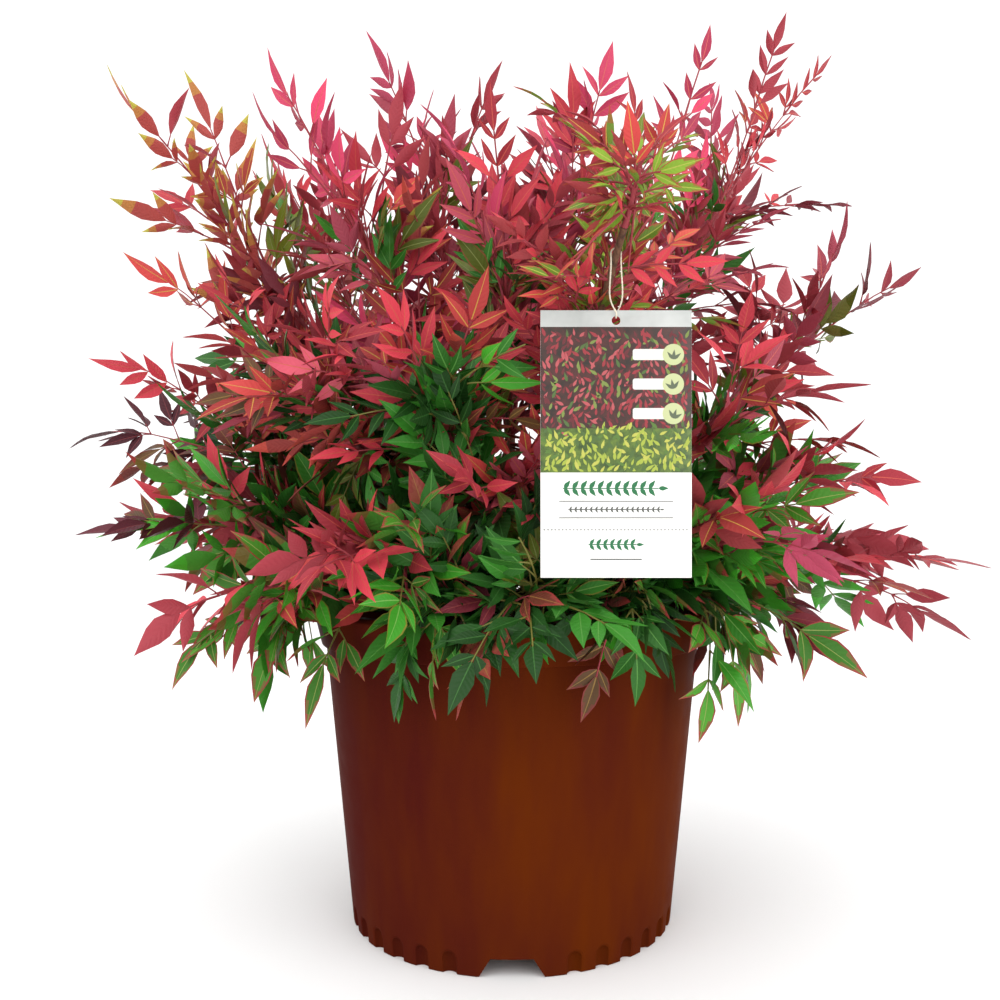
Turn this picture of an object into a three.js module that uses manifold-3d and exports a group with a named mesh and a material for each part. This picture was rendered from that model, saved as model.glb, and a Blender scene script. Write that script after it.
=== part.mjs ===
// A heavenly bamboo in a round nursery pot, in millimetres, +Z up. The front of the plant looks along -Y,
// and the origin is the centre of the pot's underside. A low woody stool stands on the potting mix. Canes
// rise from it, each to one mass of foliage, and the low masses have stems of their own that leave the
// stool and hang over the rim.
import * as THREE from "three";
import { mergeVertices } from "three/addons/utils/BufferGeometryUtils.js";
import Module from "manifold-3d";

const wasm = await Module();
wasm.setup();

// ---- Driving dimensions --------------------------------------------------------------------------

const GAP = 0.3; // what separate pieces keep between them
const SHORTEST_EDGE = 0.02; // joints between leaves and twigs keep no edge shorter than this
const ROUND_SIDES = 40; // of the pot and the potting mix
const STOOL_SIDES = 24;

const POT_HEIGHT = 218;
const RIM_RADIUS = 140;
const RIM_BAND = 25; // height of the thick band under the rim
const WALL = 2.5;
const WALL_TOP_RADIUS = 131.6; // where the wall meets the band
const FOOT_RADIUS = 112.6;
const BAND_STEP = 3; // how far the band's lower edge stands out of the wall
const LIP = 2.5; // height of the rim's rounded edge
const FLOOR_RAISED = 12; // the pot's floor stands this far off the ground, on a ring and a middle pad
const FOOT_RING = 9; // width of the ring
const PAD_RADIUS = 38;
const SLOPE = 3; // draft of the ring's and pad's sides

const FLUTE_DIVISIONS = 36; // places round the foot; those beside a notch stay empty
const FLUTES_A_NOTCH = 9; // divisions from one notch to the next
const FLUTE = { radius: 5.5, outside: 3.4, top: 13, cutterLength: 35 };
const NOTCH = { bottom: 41, top: 26.5, height: 12.2 };

const SOIL_TOP = 194;
const STOOL = { flare: 44, neck: 38, top: 36, height: 24 };
const STEM_HEIGHT = 0.62; // how far up the stool the low masses' stems leave it

const HEART = new THREE.Vector3(0, 0, 250); // the crown's rises and reaches are told from here
const CANE = { root: 3.4, tip: 2.6, sides: 5, steps: 4 };
const STEM = { root: 3, tip: 2.6, sides: 3, steps: 2 };
const RACHIS = { root: 2.3, tip: 1.9, sides: 3, steps: 2 };
const CANE_SHARE = 0.45; // how much of its mass's reach a cane runs to
const CANE_ARCH = 0.05;
const STEM_SHARE = 0.62; // how much of a mass's reach its stem runs to
const STEM_ARCH = 16; // how far a low mass's stem arches over the rim
const RIM_ROOM = 14; // that it keeps above the rim
const LEAF = { length: 62, width: 0.38, thickness: 0.024, waist: 0.38, sunk: 0.8, bend: 0.06 };
const PAIRS = [0.34, 0.66, 0.98]; // where leaves leave a mass's middle spray in pairs
const SIDE_PAIRS = [0.5, 0.97]; // the same on its side sprays
const SPRAY_SHARES = [0.97, 0.6, 0.3]; // where a mass's three sprays leave its stem
const SPRAY_REACHES = [1, 0.9, 0.7]; // and how far they go: the last one fills the crown's inside
const PAIR_ANGLE = 48;
const PAIR_RAISE = 20; // degrees that a pair is lifted out of its spray's plane
const ROLL = 42; // degrees that a spray may turn about its own line
const CLEARANCE = 3; // that a leaf keeps from what it isn't fused to

// The crown by tiers, from the top down. Azimuths run from the front (-Y) to the right (+X), in degrees.
// rise is the angle above the level and reach the distance to the furthest tip, both from HEART. launch
// is the angle at which the sprays set out, and spread and swing how far a mass's side sprays lie from
// its middle one, up and round.
const TIERS = [
  {
    name: "top", onCane: true, footRadius: 9, launch: 84, spread: 9, swing: 55,
    azimuths: [-70, 60],
    rises: [76, 78],
    reaches: [376, 366],
  },
  {
    name: "upper", onCane: true, footRadius: 20, launch: 63, spread: 11, swing: 16,
    azimuths: [-2, 50, 88, 124, 180, 236, 274, 306],
    rises: [58, 62, 59, 52, 61, 51, 48, 60],
    reaches: [326, 376, 436, 428, 420, 425, 440, 375],
  },
  {
    name: "middle", onCane: true, footRadius: 31, launch: 42, spread: 12, swing: 18,
    azimuths: [17.4, 55, 97, 150, 210, 272, 311, 341],
    rises: [44, 27, 35, 36, 36, 38, 32, 34],
    reaches: [350, 276, 384, 370, 370, 346, 290, 266],
  },
  {
    name: "low", onCane: false, launch: 20, spread: 10, swing: 15, stemShare: 0.54,
    azimuths: [-6.5, 45, 78, 91, 135, 180, 225, 261, 280, 304, 330],
    rises: [18, 3, 12, -8, 7, 6, 8, 20, 5, -8, 2],
    reaches: [222, 276, 292, 334, 312, 312, 312, 352, 302, 276, 248],
  },
  {
    name: "skirt", onCane: false, overRim: true, launch: 8, spread: 5, swing: 13,
    sprayShares: [0.97, 0.9, 0.83], sprayReaches: [1, 0.98, 0.96],
    azimuths: [-16, 3.5, 27, 60, 104, 155, 205, 292],
    rises: [-27, -13, -25, -32, -21, -22, -22, -25],
    reaches: [190, 236, 188, 202, 220, 212, 212, 204],
  },
];

// The tag hangs on a thin loop from the front cane of the middle tier, which runs further out than the
// others.
const TAG_CANE = { name: "cane_middle_1", shape: { caneRise: 43, caneShare: 0.78, stemShare: 0.87 } };
const TAG = { width: 82, height: 145, thickness: 0.8, holeRadius: 2.4, holeDrop: 5.5, caneShare: 0.94 };
const LOOP = { strand: 0.6, sides: 5, steps: 32, drop: 39, bottomRadius: 2.2 };
const TAG_ROOM = { side: 6, above: 6, below: 8, behind: 5 };

// ---- Helpers -------------------------------------------------------------------------------------

const UP = new THREE.Vector3(0, 0, 1);
const rad = THREE.MathUtils.degToRad;

// Numbers from 0 up to 1, the same on every run.
function seeded(seed) {
  let state = Math.imul(seed, 2654435761) >>> 0;
  const next = () => {
    state = (Math.imul(state, 1664525) + 1013904223) >>> 0;
    return state / 4294967296;
  };
  next();
  return next;
}

function heading(azimuth, rise) {
  const flat = Math.cos(rad(rise));
  return new THREE.Vector3(
    flat * Math.sin(rad(azimuth)),
    -flat * Math.cos(rad(azimuth)),
    Math.sin(rad(rise)),
  );
}

const along = (from, way, distance) => from.clone().addScaledVector(way, distance);

// The part of way that is square to line, as a unit vector.
const squareTo = (line, way) => along(way, line, -way.dot(line)).normalize();

// A closed geometry as a solid with its faces out, whichever way round they were made.
function solidOf(geometry) {
  const bare = new THREE.BufferGeometry().setAttribute("position", geometry.getAttribute("position"));
  if (geometry.index) bare.setIndex(geometry.index);
  const merged = mergeVertices(bare, 1e-4);
  const vertProperties = merged.attributes.position.array;
  const triVerts = new Uint32Array(merged.index.array);
  const solid = new wasm.Manifold(new wasm.Mesh({ numProp: 3, vertProperties, triVerts }));
  if (solid.volume() > 0) return solid;
  return new wasm.Manifold(new wasm.Mesh({ numProp: 3, vertProperties, triVerts: triVerts.reverse() }));
}

function geometryOf(solid) {
  const mesh = solid.getMesh();
  const position = new Float32Array(mesh.numVert * 3);
  for (let i = 0; i < mesh.numVert; i++)
    position.set(mesh.vertProperties.subarray(i * mesh.numProp, i * mesh.numProp + 3), i * 3);
  const geometry = new THREE.BufferGeometry()
    .setAttribute("position", new THREE.BufferAttribute(position, 3))
    .setIndex(new THREE.BufferAttribute(mesh.triVerts, 1));
  geometry.computeVertexNormals();
  return geometry;
}

// A lathe about +Z: three.js turns its profiles about +Y.
function turned(profile, sides) {
  const points = profile.map(([r, z]) => new THREE.Vector2(r, z));
  return new THREE.LatheGeometry(points, sides).rotateX(Math.PI / 2);
}

// A closed limb along a curve, tapering from shape.root to shape.tip. One of its edges faces up, or
// towards lean, and roll turns it about its line. foot is the way its first face looks back from, where
// that isn't its own line.
function limb(curve, shape, { foot = null, lean = UP, roll = 0 } = {}) {
  const { root, tip, sides, steps } = shape;
  const geometry = new THREE.CylinderGeometry(1, 1, 1, sides, steps);
  const position = geometry.getAttribute("position");
  for (let i = 0; i < position.count; i++) {
    const share = Math.round((0.5 - position.getY(i)) * steps) / steps;
    const radius = THREE.MathUtils.lerp(root, tip, share);
    const line = share === 0 && foot ? foot : curve.getTangentAt(share);
    const up = squareTo(line, lean).applyAxisAngle(line, rad(roll));
    const side = up.clone().cross(line);
    const point = curve
      .getPointAt(share)
      .addScaledVector(side, position.getX(i) * radius)
      .addScaledVector(up, position.getZ(i) * radius);
    position.setXYZ(i, point.x, point.y, point.z);
  }
  return solidOf(geometry);
}

// The point of a limb's axis at a share of its length: between its steps a limb is straight.
function axisPoint(curve, share, steps) {
  const step = Math.min(Math.floor(share * steps), steps - 1);
  const start = curve.getPointAt(step / steps);
  return start.lerp(curve.getPointAt((step + 1) / steps), share * steps - step);
}

// A curve and its radii as the round-ended lengths that leaves are kept clear of.
function lengthsOf(curve, { root, tip, steps }, owner) {
  const points = curve.getSpacedPoints(steps);
  return points.slice(1).map((end, i) => ({
    line: new THREE.Line3(points[i], end),
    radius: THREE.MathUtils.lerp(root, tip, i / steps),
    owner,
  }));
}

// ---- Pot, potting mix and stool ------------------------------------------------------------------

const WALL_TOP = POT_HEIGHT - RIM_BAND;
const wallRadius = (z) => THREE.MathUtils.lerp(FOOT_RADIUS, WALL_TOP_RADIUS, z / WALL_TOP);
const innerRadius = (z) => (z < WALL_TOP ? wallRadius(z) : WALL_TOP_RADIUS) - WALL;

function fluteCutter(azimuth) {
  const cutter = new THREE.CapsuleGeometry(FLUTE.radius, FLUTE.cutterLength, 2, 6).rotateX(Math.PI / 2);
  const centre = heading(azimuth, 0).multiplyScalar(wallRadius(FLUTE.top / 2) + FLUTE.outside);
  const height = FLUTE.top - FLUTE.radius - FLUTE.cutterLength / 2;
  return solidOf(cutter.translate(centre.x, centre.y, height));
}

function notchCutter(azimuth) {
  const below = 1;
  const widen = ((NOTCH.bottom - NOTCH.top) / 2 / NOTCH.height) * below;
  const outline = new THREE.Shape([
    new THREE.Vector2(-NOTCH.bottom / 2 - widen, -below),
    new THREE.Vector2(NOTCH.bottom / 2 + widen, -below),
    new THREE.Vector2(NOTCH.top / 2, NOTCH.height),
    new THREE.Vector2(-NOTCH.top / 2, NOTCH.height),
  ]);
  const depth = FOOT_RING * 3;
  const cutter = new THREE.ExtrudeGeometry(outline, { depth, bevelEnabled: false })
    .rotateX(Math.PI / 2)
    .translate(0, -FOOT_RADIUS + FOOT_RING * 1.6, 0)
    .rotateZ(rad(azimuth));
  return solidOf(cutter);
}

function potSolid() {
  const floorTop = FLOOR_RAISED + WALL;
  const profile = [
    [0, 0],
    [PAD_RADIUS, 0],
    [PAD_RADIUS + SLOPE, FLOOR_RAISED],
    [FOOT_RADIUS - FOOT_RING - SLOPE, FLOOR_RAISED],
    [FOOT_RADIUS - FOOT_RING, 0],
    [FOOT_RADIUS, 0],
    [WALL_TOP_RADIUS, WALL_TOP],
    [WALL_TOP_RADIUS + BAND_STEP, WALL_TOP],
    [RIM_RADIUS, POT_HEIGHT - LIP],
    [RIM_RADIUS - LIP, POT_HEIGHT],
    [innerRadius(POT_HEIGHT) + 1, POT_HEIGHT],
    [innerRadius(WALL_TOP), WALL_TOP],
    [innerRadius(floorTop), floorTop],
    [0, floorTop],
  ];
  const cutters = [];
  for (let i = 0; i < FLUTE_DIVISIONS; i++) {
    const azimuth = (i * 360) / FLUTE_DIVISIONS;
    const place = i % FLUTES_A_NOTCH;
    if (place === 0) cutters.push(notchCutter(azimuth));
    if (place > 1 && place < FLUTES_A_NOTCH - 1) cutters.push(fluteCutter(azimuth));
  }
  return solidOf(turned(profile, ROUND_SIDES)).subtract(wasm.Manifold.union(cutters));
}

function pottingMixSolid() {
  const bottom = FLOOR_RAISED + WALL + GAP;
  const profile = [
    [0, bottom],
    [innerRadius(bottom) - GAP * 2, bottom],
    [innerRadius(WALL_TOP) - GAP * 2, WALL_TOP - 3],
    [STOOL.flare + 12, SOIL_TOP],
    [0, SOIL_TOP],
  ];
  return solidOf(turned(profile, ROUND_SIDES));
}

const STOOL_BASE = SOIL_TOP + GAP;
const STOOL_TOP = STOOL_BASE + STOOL.height;

// The outside of the stool at a height: wide at its foot, then nearly straight.
function stoolRadius(z) {
  const share = (z - STOOL_BASE) / STOOL.height;
  if (share < 0.3) return THREE.MathUtils.lerp(STOOL.flare, STOOL.neck, share / 0.3);
  return THREE.MathUtils.lerp(STOOL.neck, STOOL.top, (share - 0.3) / 0.7);
}

function stoolSolid() {
  const profile = [
    [0, STOOL_BASE],
    [STOOL.flare, STOOL_BASE],
    [STOOL.neck, STOOL_BASE + STOOL.height * 0.3],
    [STOOL.top, STOOL_TOP],
    [0, STOOL_TOP],
  ];
  return solidOf(turned(profile, STOOL_SIDES));
}

// ---- The skeleton: canes, stems and the line of each spray ---------------------------------------

function caneCurve(mass) {
  const foot = heading(mass.azimuth, 0).multiplyScalar(mass.footRadius);
  foot.z = STOOL_TOP + GAP;
  const tip = along(HEART, heading(mass.azimuth, mass.caneRise), mass.reach * mass.caneShare);
  const middle = foot.clone().lerp(tip, 0.5).addScaledVector(UP, foot.distanceTo(tip) * CANE_ARCH);
  return new THREE.QuadraticBezierCurve3(foot, middle, tip);
}

// The stem of a mass: on from its cane, or from the side of the stool and over the rim.
function stemCurve(mass) {
  if (mass.cane) {
    const way = mass.cane.getTangentAt(1);
    const root = along(mass.cane.getPointAt(1), way, GAP * 1.2);
    const end = along(HEART, mass.axis, mass.reach * mass.stemShare);
    const middle = along(root, way, root.distanceTo(end) * 0.5);
    return new THREE.QuadraticBezierCurve3(root, middle, end);
  }
  const height = STOOL_BASE + STOOL.height * STEM_HEIGHT;
  const root = heading(mass.azimuth, 0).multiplyScalar(stoolRadius(height - STEM.root) + GAP);
  root.z = height;
  const reach = mass.overRim ? RIM_RADIUS - 6 : Math.cos(rad(mass.rise)) * mass.reach * mass.stemShare;
  const end = heading(mass.azimuth, 0).multiplyScalar(reach);
  end.z = Math.max(HEART.z + Math.sin(rad(mass.rise)) * mass.reach * mass.stemShare, POT_HEIGHT + RIM_ROOM);
  const middle = root.clone().lerp(end, 0.5);
  middle.z = end.z + STEM_ARCH;
  return new THREE.QuadraticBezierCurve3(root, middle, end);
}

// Each mass has a middle spray at its stem's end and side sprays lower down it, which leave in turn to
// either side.
function sprayPlans(mass) {
  const draw = seeded(mass.seed);
  return [0, 1, 2].map((k) => {
    const side = k === 0 ? 0 : k === 1 ? 1 : -1;
    const azimuth = mass.azimuth + side * mass.swing * (0.7 + 0.5 * draw()) + (draw() - 0.5) * 5;
    const rise = mass.rise + (k === 0 ? 0 : (k === 1 ? 0.8 : -0.8) * mass.spread) + (draw() - 0.5) * 5;
    const reach = mass.reach * (mass.sprayReaches[k] + 0.06 * (draw() - 0.5) * k);
    const roll = (draw() - 0.5) * 2 * ROLL;
    const pairs = k === 0 ? PAIRS : SIDE_PAIRS;
    return { stemShare: mass.sprayShares[k], azimuth, rise, reach, roll, pairs };
  });
}

function sprayCurve(mass, plan) {
  const start = axisPoint(mass.stem, plan.stemShare, STEM.steps);
  const tip = along(HEART, heading(plan.azimuth, plan.rise), plan.reach);
  const launch = heading(plan.azimuth, Math.max(mass.launch, plan.rise));
  const pastRim = mass.overRim ? RIM_RADIUS + RIM_ROOM - Math.hypot(start.x, start.y) : 0;
  const bend = along(start, launch, Math.max((start.distanceTo(tip) - LEAF.length) * 0.5, pastRim));
  const end = along(tip, tip.clone().sub(bend).normalize(), -LEAF.length);
  return new THREE.QuadraticBezierCurve3(start, bend, end);
}

const masses = TIERS.flatMap((tier, t) =>
  tier.azimuths.map((azimuth, i) => {
    const rise = tier.rises[i];
    return {
      caneRise: rise, caneShare: CANE_SHARE, stemShare: STEM_SHARE,
      sprayShares: SPRAY_SHARES, sprayReaches: SPRAY_REACHES,
      ...tier, tier: tier.name, name: `foliage_${tier.name}_${i + 1}`, caneName: `cane_${tier.name}_${i + 1}`,
      azimuth, rise, reach: tier.reaches[i], axis: heading(azimuth, rise), seed: (t + 1) * 100 + i,
    };
  }),
);

const tagMass = masses.find((mass) => mass.caneName === TAG_CANE.name);
Object.assign(tagMass, TAG_CANE.shape);

for (const mass of masses) {
  mass.cane = mass.onCane ? caneCurve(mass) : null;
  mass.stem = stemCurve(mass);
  mass.sprays = sprayPlans(mass).map((plan) => ({ ...plan, curve: sprayCurve(mass, plan) }));
  mass.site = along(HEART, mass.axis, mass.reach * 0.7);
}

// ---- The tag and its loop ------------------------------------------------------------------------

const hook = tagMass.cane.getPointAt(TAG.caneShare);
const hookSlope = Math.asin(tagMass.cane.getTangentAt(TAG.caneShare).z);
const hookRadius = THREE.MathUtils.lerp(CANE.root, CANE.tip, TAG.caneShare);
const loopRadius = hookRadius + LOOP.strand + GAP; // where it bends over the cane
const loopTop = hook.z + loopRadius / Math.cos(hookSlope);
const loopBottom = loopTop - LOOP.drop;
const holeTop = loopBottom + LOOP.strand + GAP;
const tagTop = holeTop - TAG.holeRadius + TAG.holeDrop;

function tagSolid() {
  const outline = new THREE.Shape()
    .moveTo(-TAG.width / 2, -TAG.height)
    .lineTo(TAG.width / 2, -TAG.height)
    .lineTo(TAG.width / 2, 0)
    .lineTo(-TAG.width / 2, 0);
  const hole = new THREE.Path().absarc(0, -TAG.holeDrop, TAG.holeRadius, 0, Math.PI * 2, true);
  outline.holes.push(hole);
  const card = new THREE.ExtrudeGeometry(outline, {
    depth: TAG.thickness, bevelEnabled: false, curveSegments: 10,
  })
    .rotateX(Math.PI / 2)
    .translate(hook.x, hook.y + TAG.thickness / 2, tagTop);
  return solidOf(card);
}

// The loop runs over the cane, spread to its left and right, and turns a quarter on its way down, so that
// it passes through the tag's hole from front to back. Both its ends are half rounds, with straight
// strands between them.
class LoopCurve extends THREE.Curve {
  getPoint(t) {
    const strand = t < 0.5 ? 1 : -1;
    const down = 1 - Math.abs(1 - 2 * t);
    const topBend = (loopRadius * Math.PI) / 2 / LOOP.drop;
    const bottomBend = (LOOP.bottomRadius * Math.PI) / 2 / LOOP.drop;
    const middle = THREE.MathUtils.clamp((down - topBend) / (1 - topBend - bottomBend), 0, 1);
    let spread = THREE.MathUtils.lerp(loopRadius, LOOP.bottomRadius, middle);
    let z = THREE.MathUtils.lerp(loopTop - loopRadius, loopBottom + LOOP.bottomRadius, middle);
    if (down < topBend) {
      const angle = ((down / topBend) * Math.PI) / 2;
      spread *= Math.sin(angle);
      z += loopRadius * Math.cos(angle);
    }
    if (1 - down < bottomBend) {
      const angle = (((1 - down) / bottomBend) * Math.PI) / 2;
      spread *= Math.sin(angle);
      z -= LOOP.bottomRadius * Math.cos(angle);
    }
    const twist = (Math.PI / 2) * middle;
    const sideways = spread * strand;
    return new THREE.Vector3(hook.x + sideways * Math.cos(twist), hook.y + sideways * Math.sin(twist), z);
  }
}

function loopSolid() {
  const curve = new LoopCurve();
  const frames = curve.computeFrenetFrames(LOOP.steps, true);
  const ring = new THREE.TorusGeometry(1, 0.5, LOOP.sides, LOOP.steps);
  const position = ring.getAttribute("position");
  for (let i = 0; i < position.count; i++) {
    const across = Math.floor(i / (LOOP.steps + 1));
    const step = i % (LOOP.steps + 1);
    const turn = ((across % LOOP.sides) / LOOP.sides) * Math.PI * 2;
    const point = curve
      .getPointAt((step % LOOP.steps) / LOOP.steps)
      .addScaledVector(frames.normals[step % LOOP.steps], Math.cos(turn) * LOOP.strand)
      .addScaledVector(frames.binormals[step % LOOP.steps], Math.sin(turn) * LOOP.strand);
    position.setXYZ(i, point.x, point.y, point.z);
  }
  return solidOf(ring);
}

// ---- Where leaves may be -------------------------------------------------------------------------

const lengths = masses.flatMap((mass) => [
  ...(mass.cane ? lengthsOf(mass.cane, CANE, mass.caneName) : []),
  ...lengthsOf(mass.stem, STEM, mass.name),
  ...mass.sprays.flatMap((spray) => lengthsOf(spray.curve, RACHIS, mass.name)),
]);

// A mass's space is what lies nearer to its own site than to any other's.
const inOwnSpace = (point, mass) =>
  masses.every((other) => {
    if (other === mass) return true;
    const apart = other.site.clone().sub(mass.site);
    const middle = mass.site.clone().lerp(other.site, 0.5);
    return point.clone().sub(middle).dot(apart) < -GAP * apart.length();
  });

function clearOfPot(point) {
  const radius = Math.hypot(point.x, point.y);
  if (point.z > POT_HEIGHT + CLEARANCE) return true;
  return radius > RIM_RADIUS + CLEARANCE && point.z > FLOOR_RAISED;
}

function clearOfTag(point) {
  const besides = Math.abs(point.x - hook.x) > TAG.width / 2 + TAG_ROOM.side;
  const above = point.z > loopTop + TAG_ROOM.above;
  const below = point.z < tagTop - TAG.height - TAG_ROOM.below;
  return besides || above || below || point.y > hook.y + TAG_ROOM.behind;
}

const nearest = new THREE.Vector3();
const clearOfLimbs = (point, mass, room) =>
  lengths.every(({ line, radius, owner }) => {
    if (owner === mass.name) return true;
    return line.closestPointToPoint(point, true, nearest).distanceTo(point) > radius + room;
  });

const free = (point, mass) =>
  inOwnSpace(point, mass) && clearOfPot(point) && clearOfTag(point) && clearOfLimbs(point, mass, CLEARANCE);

// ---- Leaves, sprays and masses -------------------------------------------------------------------

// A leaf of eight faces: an octahedron with its waist nearer the stalk and its tip bent down. Its root is
// sunk in the twig. Nothing is returned for a leaf that would leave its mass's space.
function leafSolid(root, way, face, length, mass) {
  const normal = squareTo(way, face);
  const side = way.clone().cross(normal);
  const halfWidth = (length * LEAF.width) / 2;
  const halfThickness = (length * LEAF.thickness) / 2;
  const place = (x, y, z) =>
    along(root, way, z - LEAF.sunk).addScaledVector(side, x).addScaledVector(normal, y);
  const corners = (x, y, z) => {
    if (z > 0) return place(0, -LEAF.bend * length, length);
    if (z < 0) return place(0, 0, 0);
    return place(x * halfWidth, y * halfThickness, length * LEAF.waist);
  };
  const outline = [];
  for (const share of [0.15, 0.35, 0.6, 0.85]) {
    const width = halfWidth * (share < LEAF.waist ? share / LEAF.waist : (1 - share) / (1 - LEAF.waist));
    for (const x of [-width, 0, width]) outline.push(place(x, -LEAF.bend * length * share, length * share));
  }
  outline.push(corners(0, 0, 1));
  if (!outline.every((point) => free(point, mass))) return null;
  const geometry = new THREE.OctahedronGeometry(1);
  const position = geometry.getAttribute("position");
  for (let i = 0; i < position.count; i++) {
    const point = corners(
      Math.round(position.getX(i)), Math.round(position.getY(i)), Math.round(position.getZ(i)),
    );
    position.setXYZ(i, point.x, point.y, point.z);
  }
  return solidOf(geometry);
}

// A leaf at the end of a rachis and a pair at each place along it, without those that would cut another
// spray.
function sprayLeaves(mass, spray, others, draw) {
  const leaves = [];
  const add = (share, turn, raise, length) => {
    const line = spray.curve.getTangentAt(share);
    const level = squareTo(line, UP).applyAxisAngle(line, rad(spray.roll));
    const way = line.clone().applyAxisAngle(level, rad(turn));
    way.lerp(level, Math.sin(rad(raise))).normalize();
    const tilt = level.clone().applyAxisAngle(line, rad((draw() - 0.5) * 50));
    const leaf = leafSolid(axisPoint(spray.curve, share, RACHIS.steps), way, tilt, length, mass);
    if (leaf && others.intersect(leaf).isEmpty()) leaves.push(leaf);
  };
  add(1, 0, 0, LEAF.length);
  for (const share of spray.pairs)
    for (const turn of [-PAIR_ANGLE, PAIR_ANGLE])
      add(share, turn + (draw() - 0.5) * 14, PAIR_RAISE, LEAF.length * (0.86 + 0.2 * draw()));
  return leaves;
}

function massSolid(mass) {
  const draw = seeded(mass.seed + 50);
  const foot = mass.cane ? null : heading(mass.azimuth, 0);
  let grown = limb(mass.stem, STEM, { foot });
  for (const spray of mass.sprays) {
    const rachis = limb(spray.curve, RACHIS, { roll: spray.roll });
    grown = wasm.Manifold.union([grown, rachis, ...sprayLeaves(mass, spray, grown, draw)]);
  }
  const bodies = grown.simplify(SHORTEST_EDGE).decompose();
  bodies.sort((a, b) => b.volume() - a.volume());
  return bodies[0];
}

// ---- The part ------------------------------------------------------------------------------------

const PLASTIC = { color: 0x602a18, roughness: 0.5 };
const SOIL = { color: 0x2a1c14, roughness: 0.95 };
const BARK = { color: 0x6b4a35, roughness: 0.8 };
const CARD = { color: 0xf2f0ea, roughness: 0.35 };
const STRING = { color: 0xe8e4da, roughness: 0.6 };
const LEAVES = {
  top: { color: 0xb52c4a, roughness: 0.5 },
  upper: { color: 0xa82a40, roughness: 0.5 },
  middle: { color: 0xa93a3c, roughness: 0.5 },
  low: { color: 0x6a4a30, roughness: 0.5 },
  skirt: { color: 0x2f6b2c, roughness: 0.5 },
};

const plant = new THREE.Group();

function addNode(name, solid, look) {
  const material = new THREE.MeshStandardMaterial({ ...look, metalness: 0 });
  const mesh = new THREE.Mesh(geometryOf(solid), material);
  mesh.name = name;
  plant.add(mesh);
}

addNode("pot", potSolid(), PLASTIC);
addNode("potting_mix", pottingMixSolid(), SOIL);
addNode("stool", stoolSolid(), BARK);
addNode("tag", tagSolid(), CARD);
addNode("tag_loop", loopSolid(), STRING);
for (const mass of masses) {
  const inwards = heading(mass.azimuth + 180, 0);
  if (mass.cane) addNode(mass.caneName, limb(mass.cane, CANE, { foot: UP, lean: inwards }), BARK);
  addNode(mass.name, massSolid(mass), LEAVES[mass.tier]);
}

export default plant;
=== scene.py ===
"""A heavenly bamboo in a round nursery pot: its looks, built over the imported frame.

The crown grows here from the same tiers as in the solids. Canes rise from the stool, each mass has a stem
and sprays, and here the sprays carry side twigs with leaflets. Numbers are in millimetres and degrees until
a mesh is made, which is in metres.
"""

import math

import bpy
import numpy as np
from mathutils import Matrix, Quaternion, Vector, noise


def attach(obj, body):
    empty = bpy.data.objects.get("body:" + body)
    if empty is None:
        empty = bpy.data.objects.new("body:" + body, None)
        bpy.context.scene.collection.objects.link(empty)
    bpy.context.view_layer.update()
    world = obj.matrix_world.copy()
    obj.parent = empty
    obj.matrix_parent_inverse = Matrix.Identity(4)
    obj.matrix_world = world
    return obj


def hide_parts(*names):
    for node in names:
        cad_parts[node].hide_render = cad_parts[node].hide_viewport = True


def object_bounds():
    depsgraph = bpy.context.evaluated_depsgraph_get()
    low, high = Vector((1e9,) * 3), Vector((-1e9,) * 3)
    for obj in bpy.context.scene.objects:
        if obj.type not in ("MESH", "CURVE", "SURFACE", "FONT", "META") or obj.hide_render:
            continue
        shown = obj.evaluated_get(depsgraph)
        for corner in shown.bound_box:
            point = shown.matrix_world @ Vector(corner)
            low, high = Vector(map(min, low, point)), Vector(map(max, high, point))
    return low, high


bl_info = {
    "name": "Potted heavenly bamboo",
    "version": (1, 0, 0),
    "blender": (4, 5, 0),
    "location": "3D View > Sidebar > Shrub",
    "description": "Makes the pot, the plant, its tag and a plain stage over the packed frame",
    "category": "Object",
}

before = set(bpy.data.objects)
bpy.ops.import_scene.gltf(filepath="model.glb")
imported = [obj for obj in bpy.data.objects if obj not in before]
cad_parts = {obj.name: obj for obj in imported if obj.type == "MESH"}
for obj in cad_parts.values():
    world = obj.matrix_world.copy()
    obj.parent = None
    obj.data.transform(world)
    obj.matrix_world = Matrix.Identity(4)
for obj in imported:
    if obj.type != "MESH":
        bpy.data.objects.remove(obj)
CAD_LOW, CAD_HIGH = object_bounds()

MM = 0.001
UP = Vector((0, 0, 1))

# ---- Sizes shared with the solids ----------------------------------------------------------------

GAP = 0.3
POT_HEIGHT, RIM_RADIUS = 218, 140
WALL, WALL_TOP_RADIUS, FOOT_RADIUS, WALL_TOP = 2.5, 131.6, 112.6, 193
BAND_STEP, LIP, FLOOR_RAISED, FOOT_RING, PAD_RADIUS, SLOPE = 3, 2.5, 12, 9, 38, 3
FLUTE_DIVISIONS, FLUTES_A_NOTCH = 36, 9
NOTCH = {"bottom": 41, "top": 26.5, "height": 12.2}
SOIL_TOP = 194
STOOL = {"flare": 44, "neck": 38, "top": 36, "height": 24, "flare_share": 0.3}
STOOL_BASE = SOIL_TOP + GAP
STOOL_TOP = STOOL_BASE + STOOL["height"]

HEART = Vector((0, 0, 250))
CANE = {"root": 3.4, "tip": 2.6, "arch": 0.05}
STEM = {"root": 3, "steps": 2, "height": 0.62, "arch": 16}
RIM_ROOM = 14
LEAF_LENGTH = 62
PAIR_RAISE, ROLL = 20, 42
TAG_CANE = {"name": "cane_middle_1", "cane_rise": 43, "cane_share": 0.78, "stem_share": 0.87}
TAG = {"width": 82, "height": 145, "thickness": 0.8, "hole_radius": 2.4, "hole_drop": 5.5, "cane_share": 0.94}
LOOP = {"strand": 0.6, "drop": 39, "bottom_radius": 2.2}

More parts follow.
